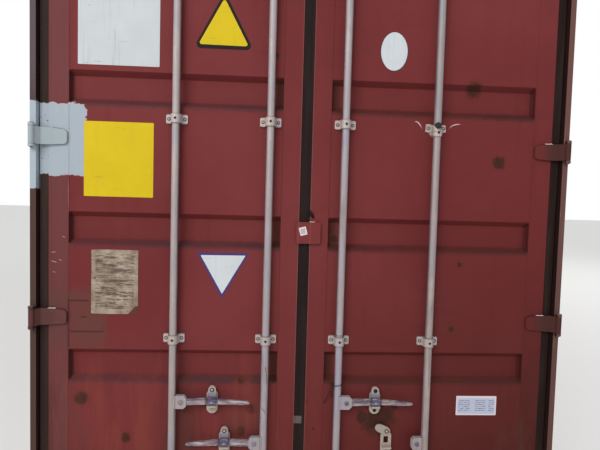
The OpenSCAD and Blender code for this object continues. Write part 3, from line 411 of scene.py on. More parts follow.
def galvanised(name, looks, tint, soil, kind="plain"):
    """Weathered zinc: dull bloom, streaks down the length, brown runs and rust near the ends; painted shade
    and highlights on the bars, guides and handles.
    """
    s = Sheet(name)
    x, y, z = s.place()
    bloom = s.noise(12.0, 4.0, 0.6)
    grain = s.noise(160.0, 2.0, 0.5)
    streak = s.noise((110.0, 110.0, 2.0), 4.0, 0.6)
    run = s.noise((40.0, 40.0, 3.0), 5.0, 0.65)
    cool = s.noise((14.0, 14.0, 3.0), 3.0).rise(0.5, 0.66)
    dark = scaled(looks.zinc, 0.62, tint)
    pale = tuple(min(1.0, c) for c in scaled(looks.zinc, 1.14, tint))
    s.colour = s.mix(bloom * 0.55 + streak * 0.45 + grain * 0.1 + 0.05, dark, pale)
    s.coat(cool * 0.35, scaled(tone(152, 156, 176), tint))
    s.coat(run.rise(0.56, 0.76) * looks.stain * soil, 112, 90, 80)
    specks = s.noise(75.0, 3.0, 0.6).rise(0.66, 0.7) * bloom.rise(0.45, 0.6)
    s.coat(specks * 0.6 * soil, 78, 64, 60)
    rust = s.noise(48.0, 6.0, 0.7).rise(0.66, 0.74) * s.noise(5.0, 2.0).rise(0.5, 0.68)
    ends = (1.0 - z.rise(0.1, 0.34)) | z.rise(2.6, 2.84)
    rust = rust | (ends * s.noise(22.0, 5.0, 0.7).rise(0.48, 0.66) * 0.7)
    s.coat(rust * 0.85, s.mix(s.noise(140.0), RUST_DARK, RUST))
    if kind == "bar":
        flank = None
        for bar in BARS.values():
            away = abs(x - bar[0])
            flank = away if flank is None else flank & away
        flank = flank.rise(0.0115, 0.0165) * (1.0 - flank.rise(0.0175, 0.0185))
        slow = s.noise((26.0, 26.0, 6.0), 5.0, 0.7)
        s.coat(slow.rise(0.52, 0.66) * 0.4, scaled(tone(146, 146, 158), tint))
        s.coat((1.0 - slow.rise(0.36, 0.47)) * 0.35, 198, 186, 180)
        upper = z.rise(1.9, 1.98) * x.rise(0.45, 0.5) * 0.35
        s.coat(upper, 136, 138, 142)
        # Painted shade down both flanks of each bar, patchy with grime along the runs.
        flank_shade_and_grime = flank * (0.25 + run.rise(0.35, 0.62) * 0.55)
        s.coat(flank_shade_and_grime, 92, 82, 92)
    if kind == "guide":
        # Painted shade: dark lines along each strap's top and bottom edges.
        for centre in GUIDE_HEIGHTS:
            away = abs(z - centre)
            s.coat(away.rise(0.017, 0.02) * (1.0 - away.rise(0.0215, 0.0225)) * 0.55, 70, 52, 50)
    if kind in ("handle", "hanging handle"):
        along = (11.0, 30.0, 90.0) if kind == "handle" else (90.0, 30.0, 11.0)
        lines = s.noise(along, 4.0, 0.6)
        s.coat(lines.rise(0.45, 0.58) * 0.85, 84, 70, 94)
        # Pale streaks along the handle are painted highlights.
        s.coat((1.0 - lines.rise(0.36, 0.43)) * 0.6, 214, 206, 208)
        pitted = s.noise(62.0, 4.0, 0.7).rise(0.56, 0.64)
        s.coat(pitted * 0.6, 92, 66, 66)
        boss = 1.0 - y.rise(END + 0.0145, END + 0.016)
        s.coat(boss * 0.85, 66, 72, 108)
        for bar in (1, 2, 3):
            middle = BARS[bar][0] + BARS[bar][1] * RETAINER_OFFSET
            # Painted highlight: a pale spot low on each boss.
            away = (((x - middle) * 0.7) ** 2.0 + (z - BARS[bar][2] + 0.002) ** 2.0).root()
            s.coat(boss * (1.0 - away.rise(0.001, 0.009)) * 0.55, 186, 182, 198)
            edge = abs(x - middle).rise(0.014, 0.017) * (1.0 - abs(x - middle).rise(0.024, 0.034))
            shadow = edge * (1.0 - boss) * abs(z - BARS[bar][2]).between(-1.0, 0.02, 0.002)
            s.coat(shadow * 0.75, 60, 48, 66)
    if kind == "catch":
        for height in (BARS[1][2], BARS[2][2]):
            body = z.between(height + 0.004, height + 0.037, 0.004)
            s.coat(body * (0.3 + bloom * 0.6), 114, 120, 148)
            foot = z.between(height + 0.004, height + 0.019, 0.003)
            s.coat(foot * 0.6, 66, 66, 98)
    height = bloom * 0.4 + s.noise(260.0, 3.0) * 0.25 - rust * 0.4
    metal = 0.3 - rust * 0.3
    return s.finish(s.colour, 0.52 + run * 0.2 + rust * 0.2, s.bump(height, 0.0006, 0.6), Metallic=metal)


def door_rubber(name, looks):
    """Old black rubber with dust in its grooves and the pale patch painted across it."""
    s = Sheet(name)
    x, y, z = s.place()
    dust = s.noise((30.0, 30.0, 2.2), 4.0, 0.6)
    ribs = (x * 1150.0).wave() * 0.5
    s.colour = s.mix(dust.rise(0.4, 0.75) * 0.6, tone(38, 26, 24), tone(60, 46, 41))
    patch = patch_mask(s, x, y, z)
    # Darker in the middle seal; the left seal lighter, a painted sheen.
    s.coat((1.0 - abs(x).rise(0.3, 0.6)) * 0.45, 30, 22, 24)
    s.coat((1.0 - x.rise(-1.0, -0.6)) * 0.3, 74, 56, 52)
    torn = s.noise(70.0, 3.0).rise(0.3, 0.36)
    s.coat(patch * torn, scaled(looks.patch, 0.94))
    return s.finish(s.colour, 0.72 - patch * 0.15, s.bump(dust * 0.4 + ribs * 0.3, 0.0012, 0.8),
                    Specular_IOR_Level=0.12)


def wax_coating(name):
    """Black underseal over steel: thick, uneven, with road dust low down and rust where it wore off."""
    s = Sheet(name)
    lumps = s.noise(70.0, 4.0, 0.6)
    dust = s.noise(6.0, 5.0, 0.7)
    rust = s.noise(18.0, 6.0, 0.75).rise(0.6, 0.68)
    s.colour = s.mix(dust.rise(0.4, 0.75) * 0.6, tone(36, 31, 29), tone(92, 80, 70))
    s.coat(rust * 0.8, s.mix(lumps, RUST_DARK, tone(104, 60, 38)))
    return s.finish(s.colour, 0.66 + dust * 0.2, s.bump(lumps + rust * 0.4, 0.0015, 0.9))


def plywood(name):
    """Worn floor plywood: grain along the boards, scuffs across them, dark tyre and oil marks."""
    s = Sheet(name)
    _, _, z = s.place()
    grain = s.noise((60.0, 3.0, 60.0), 5.0, 0.65, 0.4)
    rings = s.node(
        "ShaderNodeTexWave",
        {"bands_direction": "X"},
        {"Vector": s.stretched(5.0, 0.25, 5.0), "Scale": 2.4, "Distortion": 9.0, "Detail": 3.0},
        output="Fac",
    )
    scuff = s.noise((3.0, 16.0, 3.0), 5.0, 0.7)
    s.colour = s.mix(grain * 0.7 + rings * 0.3, tone(104, 74, 50), tone(158, 122, 84))
    s.coat(scuff.rise(0.55, 0.72) * 0.6, 188, 160, 122)
    s.coat(s.noise(1.7, 4.0, 0.6).rise(0.56, 0.72) * 0.75, 58, 46, 38)
    layers = (z * 2200.0).wave().rise(-0.2, 0.2) * (1.0 - z.rise(0.1665, 0.1672))
    s.coat(layers * 0.5, 90, 62, 40)
    return s.finish(s.colour, 0.62 + grain * 0.2, s.bump(grain * 0.7 + scuff * 0.4, 0.0015, 0.9))


def plate_paint(name, colour_tone, worn_tone, wear):
    """A flat painted or printed panel: slight mottling, worn scratches and rain marks."""
    s = Sheet(name)
    cloud = s.noise(7.0, 4.0, 0.6)
    scratch = s.noise((9.0, 9.0, 70.0), 5.0, 0.7).rise(0.63, 0.7)
    run = s.noise((45.0, 45.0, 2.0), 4.0, 0.6)
    s.colour = s.mix(cloud, scaled(colour_tone, 0.8), colour_tone)
    s.coat(run.rise(0.55, 0.75) * wear * 0.7, worn_tone)
    s.coat(scratch * wear, 120, 70, 66)
    return s.finish(s.colour, 0.5 + cloud * 0.12, s.bump(scratch * -0.4 + cloud * 0.2, 0.0006, 0.6),
                    Specular_IOR_Level=0.15)


def old_placard(name):
    """Sun-bleached paper: yellowed, stained in thin level bands, with a paler frame and lost corners."""
    s = Sheet(name)
    x, _, z = s.place()
    stain = s.noise(16.0, 5.0, 0.7)
    inside = x.between(-0.938, -0.767, 0.003) * z.between(1.08, 1.33, 0.003)
    s.colour = s.mix(stain.rise(0.3, 0.7), tone(130, 112, 94), tone(178, 162, 146))
    bands = s.noise((16.0, 16.0, 130.0), 4.0, 0.75)
    s.coat((1.0 - bands.rise(0.34, 0.44)) * 0.45, 206, 196, 182)
    s.coat(bands.rise(0.46, 0.6) * inside * 0.85, 80, 66, 56)
    fold = x.between(-0.8535, -0.8505, 0.001) * inside
    s.coat(fold * 0.4, 120, 104, 90)
    gone = s.noise(30.0, 5.0, 0.7).rise(0.66, 0.68)
    gone = gone | ((x - z * 0.9).rise(-1.748, -1.742) * (1.0 - z.rise(1.09, 1.1)))
    s.coat(gone, 96, 56, 50)
    return s.finish(s.colour, 0.6 + stain * 0.2, s.bump(stain - gone * 0.6, 0.0006, 0.8),
                    Specular_IOR_Level=0.15)


def ruled_label(name):
    """A small white label with a frame and rows of short grey strokes in three columns."""
    s = Sheet(name)
    x, _, z = s.place()
    core = x.between(0.753, 0.934, 0.001) * z.between(0.602, 0.677, 0.001)
    columns = x.between(0.757, 0.812, 0.001) | x.between(0.838, 0.888, 0.001)
    columns = columns | x.between(0.902, 0.93, 0.001)
    rows = ((z - 0.6065) * (2.0 * math.pi / 0.0095)).wave().rise(0.1, 0.5) * z.between(0.611, 0.668, 0.001)
    broken = s.noise((150.0, 1.0, 90.0), 2.0).rise(0.42, 0.5)
    fade = s.noise((20.0, 20.0, 60.0), 3.0)
    s.colour = s.mix(core * 0.9, tone(226, 214, 222), tone(188, 196, 218))
    s.coat(core * fade * 0.25, 170, 173, 192)
    s.coat(rows * columns * broken * 0.75, 86, 92, 118)
    return s.finish(s.colour, 0.45 + fade * 0.1, Specular_IOR_Level=0.15)


def square_sticker(name, middle, turn):
    """A small turned sticker: a pale pink frame round a grey core. The core is a box on the turned axes."""
    s = Sheet(name)
    x, _, z = s.place()
    across = (x - middle[0]) * math.cos(turn) + (z - middle[1]) * math.sin(turn)
    up = (z - middle[1]) * math.cos(turn) - (x - middle[0]) * math.sin(turn)
    core = (1.0 - abs(across).rise(0.009, 0.012)) * (1.0 - abs(up).rise(0.011, 0.014))
    marks = s.noise(240.0, 3.0, 0.7)
    print_tone = s.mix(marks.rise(0.35, 0.65), tone(140, 132, 140), tone(206, 200, 204))
    s.colour = s.mix(core * 0.85, tone(232, 212, 220), print_tone)
    return s.finish(s.colour, 0.5 + marks * 0.1, Specular_IOR_Level=0.15)


def dark_steel(name, colour_tone, metal=0.35):
    """Bare or blackened steel: brown bloom, pitting and a dull sheen."""
    s = Sheet(name)
    pits = s.noise(240.0, 3.0, 0.7)
    bloom = s.noise(30.0, 4.0, 0.6)
    s.colour = s.mix(bloom.rise(0.45, 0.75) * 0.6, colour_tone, RUST_DARK)
    return s.finish(s.colour, 0.55 + bloom * 0.2, s.bump(pits, 0.0005, 0.8), Metallic=metal,
                    Specular_IOR_Level=0.3)


def louvre_plastic(name):
    """Moulded vent plastic, painted with the wall and chalky on top."""
    s = Sheet(name)
    chalk = s.noise(25.0, 4.0, 0.6)
    s.colour = s.mix(chalk.rise(0.35, 0.7), tone(92, 44, 44), tone(122, 70, 68))
    return s.finish(s.colour, 0.55 + chalk * 0.2, s.bump(chalk, 0.0006, 0.6))


# Mesh helpers. Shapes are worked out as whole arrays.


def circle(count):
    """A full turn in equal steps, without its end."""
    return np.linspace(0, 2 * np.pi, count, endpoint=False)


def coords(*parts):
    """Points from their coordinates, each an array or one number for all of them."""
    return np.stack(np.broadcast_arrays(*parts), axis=-1)


def closed_stack(rings, wrap=False):
    """Faces over stacks of rings.

    rings has the shape (copies, rows, sides, 3). Point (r, i) is joined to (r, i + 1) and (r + 1, i). The
    sides close on themselves, and so do the rows when wrap is set. Otherwise the first and last ring each
    get a fan to their centre. The faces are turned round when the first copy's signed volume is negative.
    """
    rings = np.asarray(rings, float)
    if rings.ndim == 3:
        rings = rings[None]
    copies, rows, sides, _ = rings.shape
    index = np.arange(rows * sides).reshape(rows, sides)
    after = np.roll(index, -1, axis=1)
    if wrap:
        here, there = index, np.roll(index, -1, axis=0)
        quads = np.stack([here, after, np.roll(after, -1, axis=0), there], axis=-1).reshape(-1, 4)
        points = rings.reshape(copies, rows * sides, 3)
        fans = np.zeros((0, 3), int)
    else:
        quads = np.stack([index[:-1], after[:-1], after[1:], index[1:]], axis=-1).reshape(-1, 4)
        ends = rings[:, [0, -1]].mean(axis=2)
        points = np.concatenate([rings.reshape(copies, rows * sides, 3), ends], axis=1)
        low = np.stack([after[0], index[0], np.full(sides, rows * sides)], axis=-1)
        high = np.stack([index[-1], after[-1], np.full(sides, rows * sides + 1)], axis=-1)
        fans = np.concatenate([low, high])
    halves = np.concatenate([quads[:, [0, 1, 2]], quads[:, [0, 2, 3]], fans])
    a, b, c = (points[0][halves[:, k]] for k in range(3))
    if np.einsum("ij,ij->i", np.cross(a, b), c).sum() < 0:
        quads, fans = quads[:, ::-1], fans[:, ::-1]
    step = (np.arange(copies) * points.shape[1])[:, None, None]
    quads = (quads[None] + step).reshape(-1, 4)
    fans = (fans[None] + step).reshape(-1, 3)
    return points.reshape(-1, 3), [row.tolist() for row in quads] + [row.tolist() for row in fans]


def piece(name, shells, finish, body, smooth=40.0):
    """Makes one object of one or more closed shells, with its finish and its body."""
    points, faces, base = [], [], 0
    for more, shell_faces in shells:
        points.append(more)
        faces.extend([[i + base for i in face] for face in shell_faces])
        base += len(more)
    mesh = bpy.data.meshes.new(name)
    mesh.from_pydata(np.concatenate(points).tolist(), [], faces)
    if mesh.validate():
        raise RuntimeError(name + " has faces that Blender had to mend")
    mesh.materials.append(finish)
    mesh.shade_smooth()
    mesh.set_sharp_from_angle(angle=math.radians(smooth))
    made = bpy.data.objects.new(name, mesh)
    bpy.context.scene.collection.objects.link(made)
    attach(made, body)


def on_door(name, shells, finish, slot="door_paint"):
    """Makes a piece that rides on the door that its name begins with."""
    piece(name, shells, finish, name.split("_")[0] + "_door")


def turned(profile, places, axis="y", sides=20, wrap=False):
    """The closed shell of a profile of (radius, along) rows turned round an axis through each place.

    A point is place + (radius cos u, along, radius sin u) for the axis y, or with along on z for the axis z.
    """
    profile, places = np.asarray(profile, float), np.asarray(places, float)
    u = circle(sides)
    across = profile[:, None, 0] * np.cos(u)
    up = profile[:, None, 0] * np.sin(u)
    along = np.repeat(profile[:, None, 1], sides, axis=1)
    rings = np.stack([across, along, up] if axis == "y" else [across, up, along], axis=-1)
    return closed_stack(rings[None] + places[:, None, None, :], wrap)


def tube(path, radius, sides=12, upward=(0.0, 0.0, 1.0), wrap=False):
    """Circles carried along a path: path + radius (side cos u + other sin u), square to the path's run."""
    path = np.asarray(path, float)
    run = np.gradient(path, axis=0)
    if wrap:
        run = np.roll(path, -1, axis=0) - np.roll(path, 1, axis=0)
    run /= np.linalg.norm(run, axis=1)[:, None]
    side = np.cross(run, np.asarray(upward, float))
    side /= np.linalg.norm(side, axis=1)[:, None]
    other = np.cross(side, run)
    u = circle(sides)
    thick = np.broadcast_to(radius, len(path))[:, None, None]
    turn = side[:, None] * np.cos(u)[:, None] + other[:, None] * np.sin(u)[:, None]
    return closed_stack(path[:, None] + thick * turn, wrap)


def bead(path, radius, seed, upward=(0.0, 1.0, 0.0)):
    """A weld bead: a tube whose radius ripples along the path and swells a little at random."""
    path = np.asarray(path, float)
    steps = np.concatenate([[0.0], np.cumsum(np.linalg.norm(np.diff(path, axis=0), axis=1))])
    count = max(6, int(steps[-1] / 0.012))
    at = np.linspace(0, steps[-1], count)
    line = np.stack([np.interp(at, steps, path[:, k]) for k in range(3)], axis=1)
    wave = 1.0 + 0.1 * np.sin(at * 520.0) + 0.1 * np.random.default_rng(seed).normal(size=count)
    return tube(line, radius * np.clip(wave, 0.7, 1.3), 6, upward)


def rounded_outline(width, height, corner, steps=6):
    """A rectangle round the origin with round corners: each corner centre + corner (cos u, sin u)."""
    u = np.linspace(0, np.pi / 2, steps)
    out = []
    for k, (sx, sz) in enumerate(((1, 1), (-1, 1), (-1, -1), (1, -1))):
        middle = np.array([sx * (width / 2 - corner), sz * (height / 2 - corner)])
        out.append(middle + corner * coords(np.cos(u + k * np.pi / 2), np.sin(u + k * np.pi / 2)))
    return np.concatenate(out)


def rounded_triangle(points, corner, steps=6):
    """A triangle whose corners are arcs: each arc's centre lies on the bisector of its corner."""
    points = np.asarray(points, float)
    out = []
    for i in range(3):
        here, before, after = points[i], points[i - 1], points[(i + 1) % 3]
        a = (before - here) / np.linalg.norm(before - here)
        b = (after - here) / np.linalg.norm(after - here)
        half = math.acos(float(a @ b)) / 2
        middle = here + (a + b) / np.linalg.norm(a + b) * corner / math.sin(half)
        start = here + a * corner / math.tan(half) - middle
        end = here + b * corner / math.tan(half) - middle
        low, high = math.atan2(start[1], start[0]), math.atan2(end[1], end[0])
        turn = (high - low + math.pi) % (2 * math.pi) - math.pi
        u = low + turn * np.linspace(0, 1, steps)
        out.append(middle + corner * coords(np.cos(u), np.sin(u)))
    return np.concatenate(out)


def plate(outline, centre, back, rise):
    """A thin plate on a face towards the low Y: the outline at the back, at the front, and drawn in."""
    edge = 0.0004
    outline = np.asarray(outline, float)
    drawn_in = outline * (1.0 - edge / np.linalg.norm(outline, axis=1))[:, None]
    rings = []
    for ring, y in ((outline, back), (outline, back - rise + edge), (drawn_in, back - rise)):
        rings.append(coords(ring[:, 0] + centre[0], y, ring[:, 1] + centre[1]))
    return closed_stack(np.array(rings))


def ribbon(path, width, back, rise):
    """A flat stroke on a face: a lens-shaped section carried along a path on X and Z, thin at both ends."""
    path = np.asarray(path, float)
    run = np.gradient(path, axis=0)
    run /= np.linalg.norm(run, axis=1)[:, None]
    side = coords(-run[:, 1], run[:, 0])
    swell = np.sin(np.linspace(0.12, np.pi - 0.12, len(path)))[:, None, None] * width / 2
    u = circle(8)
    flat = path[:, None] + swell * side[:, None] * np.cos(u)[None, :, None]
    deep = back - rise * 0.5 + rise * 0.5 * np.sin(u)
    return closed_stack(coords(flat[..., 0], deep, flat[..., 1]))


# Sizes and colours that a user would change.


def shade(name, description, default):
    return bpy.props.FloatVectorProperty(
        name=name, description=description, default=default, size=3, min=0.0, max=1.0, subtype="COLOR"
    )


def length(name, description, default, low, high):
    return bpy.props.FloatProperty(
        name=name, description=description, default=default, min=low, max=high,
        subtype="DISTANCE", unit="LENGTH"
    )


def share(name, description, default):
    return bpy.props.FloatProperty(
        name=name, description=description, default=default, min=0.0, max=1.0, subtype="FACTOR"
    )


class ContainerLooks(bpy.types.PropertyGroup):
    """Colours and wear of the finishes."""

    paint: shade("Paint", "Red-brown paint where it kept its colour", MAROON)
    faded: shade("Faded paint", "The same paint where the sun bleached it", MAROON_PALE)
    deep: shade("Deep paint", "The same paint in rain streaks", MAROON_DEEP)
    zinc: shade("Zinc", "Weathered zinc of the lock gear", ZINC)
    patch: shade("Patch", "Grey paint brushed over the upper left hinge", PATCH_GREY)
    streaks: share("Streaks", "How strongly rain has streaked the doors", 0.5)
    stain: share("Stain", "How strongly brown runs stain the zinc", 0.5)


class ContainerFittings(bpy.types.PropertyGroup):
    """Sizes of the small fittings."""

    rivet: length("Guide rivets", "Radius of a guide rivet's head", 0.0075, 0.004, 0.012)
    bead: length("Weld beads", "Radius of a weld bead", 0.003, 0.001, 0.006)
    plates: length("Plates", "How far the plates stand off the doors", 0.001, 0.0005, 0.003)
    screw: length("Floor screws", "Radius of a floor screw's head", 0.0065, 0.004, 0.01)
    ring: length("Lashing rings", "Radius of a lashing ring", 0.026, 0.015, 0.035)


class ContainerStage(bpy.types.PropertyGroup):
    """Floor, light and lens of the stage."""

    floor: shade("Floor", "Colour of the floor", tone(240, 240, 238))
    sky: bpy.props.FloatProperty(name="Sky", description="Strength of the even light", default=0.54,
                                 min=0.0, max=3.0)
    lamp: bpy.props.FloatProperty(
        name="Lamp", description="Power of the soft lamp before the doors",
        default=270.0, min=0.0, unit="POWER"
    )
    lens: bpy.props.FloatProperty(
        name="Lens", description="Focal length of the camera",
        default=30.231, min=10.0, max=200.0, unit="CAMERA"
    )


def dress(finish, *nodes):
    """Gives CAD nodes a finish in place of the plain one that they came with."""
    for node in nodes:
        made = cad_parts[node]
        if not made.material_slots:
            made.data.materials.append(None)
        for slot in made.material_slots:
            slot.link = "OBJECT"
            slot.material = finish


class PaintBody(bpy.types.Operator):
    """Paint the castings, posts, rails, walls and roof"""

    bl_idname = "container.paint_body"
    bl_label = "Paint the body"

    def execute(self, context):
        looks = context.scene.container_looks
        dress(
            weathered_paint("weathered_body_paint", looks, doors=False),
            "door_end_corner_castings", "front_end_corner_castings", "front_corner_posts",
            "top_side_rails", "bottom_side_rails", "front_top_rail", "front_bottom_rail",
            "left_side_wall", "right_side_wall", "front_wall", "roof_sheet",
        )
        dress(
            weathered_paint("weathered_post_paint", looks, doors=False, posts=True),
            "rear_corner_posts", "door_header", "door_sill", "hinge_lugs",
        )
        dress(louvre_plastic("louvre_plastic"), "vents")
        return {"FINISHED"}


class PaintDoors(bpy.types.Operator):
    """Paint the door leaves and hinge blades, and give them their rubber seals"""

    bl_idname = "container.paint_doors"
    bl_label = "Paint the doors"

    def execute(self, context):
        looks = context.scene.container_looks
        dress(
            weathered_paint("weathered_door_paint", looks),
            *(side + part for side in ("left_", "right_") for part in
              ("door_frame", "door_panel", "hinge_blades", "lock_plate")),
        )
        dress(door_rubber("old_door_rubber", looks), "left_door_seal", "right_door_seal")
        return {"FINISHED"}


class ZincGear(bpy.types.Operator):
    """Give the lock bars, guides, keepers, handles and catches their weathered zinc"""

    bl_idname = "container.zinc_gear"
    bl_label = "Zinc the lock gear"

    def execute(self, context):
        looks = context.scene.container_looks
        handles = (0.84, 0.78, 0.83)
        for name, tint, soil, kind, nodes in (
            ("weathered_zinc", (1.0, 1.0, 1.0), 1.0, "bar", ("lock_bar_1",)),
            ("cool_zinc", (0.98, 0.99, 1.05), 1.0, "bar", ("lock_bar_2", "lock_bar_3")),
            ("bluish_zinc", (0.92, 0.88, 0.87), 1.2, "bar", ("lock_bar_4",)),
            ("guide_zinc", (1.2, 1.18, 1.12), 0.6, "guide", ("left_bar_guides", "right_bar_guides")),
            ("retainer_zinc", (1.14, 1.1, 0.96), 0.9, "plain",
             ("left_handle_retainers", "right_handle_retainers")),
            ("dull_zinc", (0.86, 0.84, 0.82), 1.2, "plain", ("cam_keepers",)),
            ("stained_pin_zinc", (0.4, 0.3, 0.28), 1.4, "plain", ("hinge_pins",)),
            ("worn_handle_zinc", handles, 0.6, "handle", ("handle_1", "handle_2", "handle_3")),
            ("hanging_handle_zinc", handles, 0.6, "hanging handle", ("handle_4",)),
            ("stained_catch_zinc", (1.1, 1.06, 1.0), 0.8, "catch", ("catch_1", "catch_2", "catch_3")),
            ("spotted_catch_zinc", (0.98, 0.96, 0.9), 1.6, "plain", ("catch_4",)),
        ):
            dress(galvanised(name, looks, tint, soil, kind), *nodes)
        return {"FINISHED"}


class FloorAndUnderframe(bpy.types.Operator):
    """Finish the plywood floor and the coated beams under it"""

    bl_idname = "container.floor_and_underframe"
    bl_label = "Finish the floor and underframe"

    def execute(self, context):
        dress(wax_coating("underframe_wax"), "cross_members", "tunnel_outriggers", "gooseneck_tunnel")
        dress(plywood("worn_plywood"), "floor_boards")
        return {"FINISHED"}


def dome(radius, rise, back=0.001):
    """Rows of a rivet head: radius cos v and rise sin v outwards, from a foot sunk into its plate."""
    v = np.linspace(0, np.pi / 2 * 0.93, 6)
    rows = [(radius * 0.94, back)] + list(zip(radius * np.cos(v), -rise * np.sin(v)))
    return np.array(rows)


class GearRivets(bpy.types.Operator):
    """Make the rivets of the guides, retainers and hubs with dark rims of painted shade, and black discs of
    painted shade for the guides' grease holes and two empty rivet holes
    """

    bl_idname = "container.gear_rivets"
    bl_label = "Rivets"

    def execute(self, context):
        fittings, looks = context.scene.container_fittings, context.scene.container_looks
        worn = galvanised("rivet_zinc", looks, (1.14, 1.12, 1.06), 0.7)
        dull = galvanised("dull_rivet_zinc", looks, (0.72, 0.68, 0.7), 1.0)
        rim_zinc = galvanised("rim_zinc", looks, (0.5, 0.45, 0.48), 1.0)
        dark = dark_steel("rim_and_hole_shade", tone(26, 22, 24), 0.0)
        bluish = galvanised("hub_rivet_zinc", looks, (0.34, 0.34, 0.44), 1.0)

        def ring(outer, inner):
            return [(outer, 0.001), (outer, -0.0006), (inner, -0.0006), (inner, 0.001)]

        def disc(radius):
            return [(radius, 0.0014), (radius, 0.0), (radius * 0.9, -0.0005)]

        radius = fittings.rivet
        for side, sign in SIDES:
            ears, holes, feet, eyes = [], [], [], []
            for bar, (x, reach, height) in BARS.items():
                if x * sign < 0:
                    continue
                for z in GUIDE_HEIGHTS:
                    bent = bar == 4 and abs(z - GUIDE_HEIGHTS[2]) < 0.01
                    ears += [(x - 0.035, END + 0.054, z), (x + 0.035, END + 0.054, z)]
                    holes.append((x, STRAP_FRONT, z - (0.024 if bent else 0.0)))
                away = x + reach * RETAINER_OFFSET
                feet.append((away, END + 0.045, height - 0.046))
                eyes.append((away, END + 0.0345, height + CATCH_RISE))
            bored = {"left": 0, "right": 1}[side]
            shells = [
                turned(dome(radius * 0.62, 0.003), ears),
                turned(dome(0.0058, 0.003), feet[bored:]),
                turned(dome(0.0062, 0.0026), eyes[bored:]),
            ]
            on_door(side + "_gear_rivets", shells, worn, "galvanised_steel")
            # Painted shade: dark rings round the guide and retainer rivets, and black discs for the grease
            # holes and two empty rivet holes.
            shells = [
                turned(ring(radius * 1.05, radius * 0.68), ears, wrap=True),
                turned(disc(0.0058), holes, sides=14),
                turned(ring(0.0098, 0.006), eyes[bored:], wrap=True),
            ]
            if bored:
                shells += [turned(disc(0.0098), eyes[:1]),
                           turned(disc(0.0082), feet[:1])]
            on_door(side + "_guide_holes", shells, dark, "galvanised_steel")
        for bar, (x, reach, height) in BARS.items():
            hub = [(x + reach * HANDLE_OFFSET, END + 0.0087, height)]
            finish, rim_finish = (bluish, bluish) if bar > 2 else (dull, rim_zinc)
            piece("hub_%d_rivet" % bar, [turned(dome(0.0076, 0.003), hub)], finish,
                  "lock_bar_%d" % bar)
            # Painted shade: a dark ring round each hub rivet.
            rim = [turned(ring(0.0098, 0.0074), hub, wrap=True)]
            piece("hub_%d_rim" % bar, rim, rim_finish, "lock_bar_%d" % bar)
        return {"FINISHED"}


class WeldBeads(bpy.types.Operator):
    """Lay the weld beads round the door panels and along the hinge blades"""

    bl_idname = "container.weld_beads"
    bl_label = "Weld beads"

    def execute(self, context):
        fittings, looks = context.scene.container_fittings, context.scene.container_looks
        # Both bead paints carry painted shade: a little on the panel beads, more on the blade beads where
        # they meet the leaf.
        finish = weathered_paint("weathered_bead_paint", looks, black_shade=0.12)
        shaded_beads = weathered_paint("shaded_bead_paint", looks, black_shade=0.42)
        for side, sign in SIDES:
            low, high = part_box(side + "_door_panel")
            face = LEAF + 0.0012
            mouth, floor, deep = 0.073, 0.05, 0.03  # a groove's half heights and depth
            line = [(face, low[2])]
            for centre in GROOVES:
                line += [(face, centre - mouth), (face + deep, centre - floor),
                         (face + deep, centre + floor), (face, centre + mouth)]
            line += [(face, high[2])]
            shells = []
            for k, x in enumerate((low[0], high[0])):
                shells.append(bead([(x, y, z) for y, z in line], fittings.bead * 0.8, 11 + k,
                                   (1.0, 0.0, 0.0)))
            for k, z in enumerate((low[2], high[2])):
                shells.append(bead([(low[0], face, z), (high[0], face, z)], fittings.bead * 0.8, 21 + k))
            on_door(side + "_panel_beads", shells, finish)
            shells = []
            for k, z in enumerate(HINGE_HEIGHTS):
                path = [(sign * (HINGE_X - reach), LEAF - 0.0006, z + up) for reach, up in BLADE_EDGE]
                shells.append(bead(path, fittings.bead * 1.05, 31 + k))
            on_door(side + "_blade_beads", shells, shaded_beads)
        return {"FINISHED"}


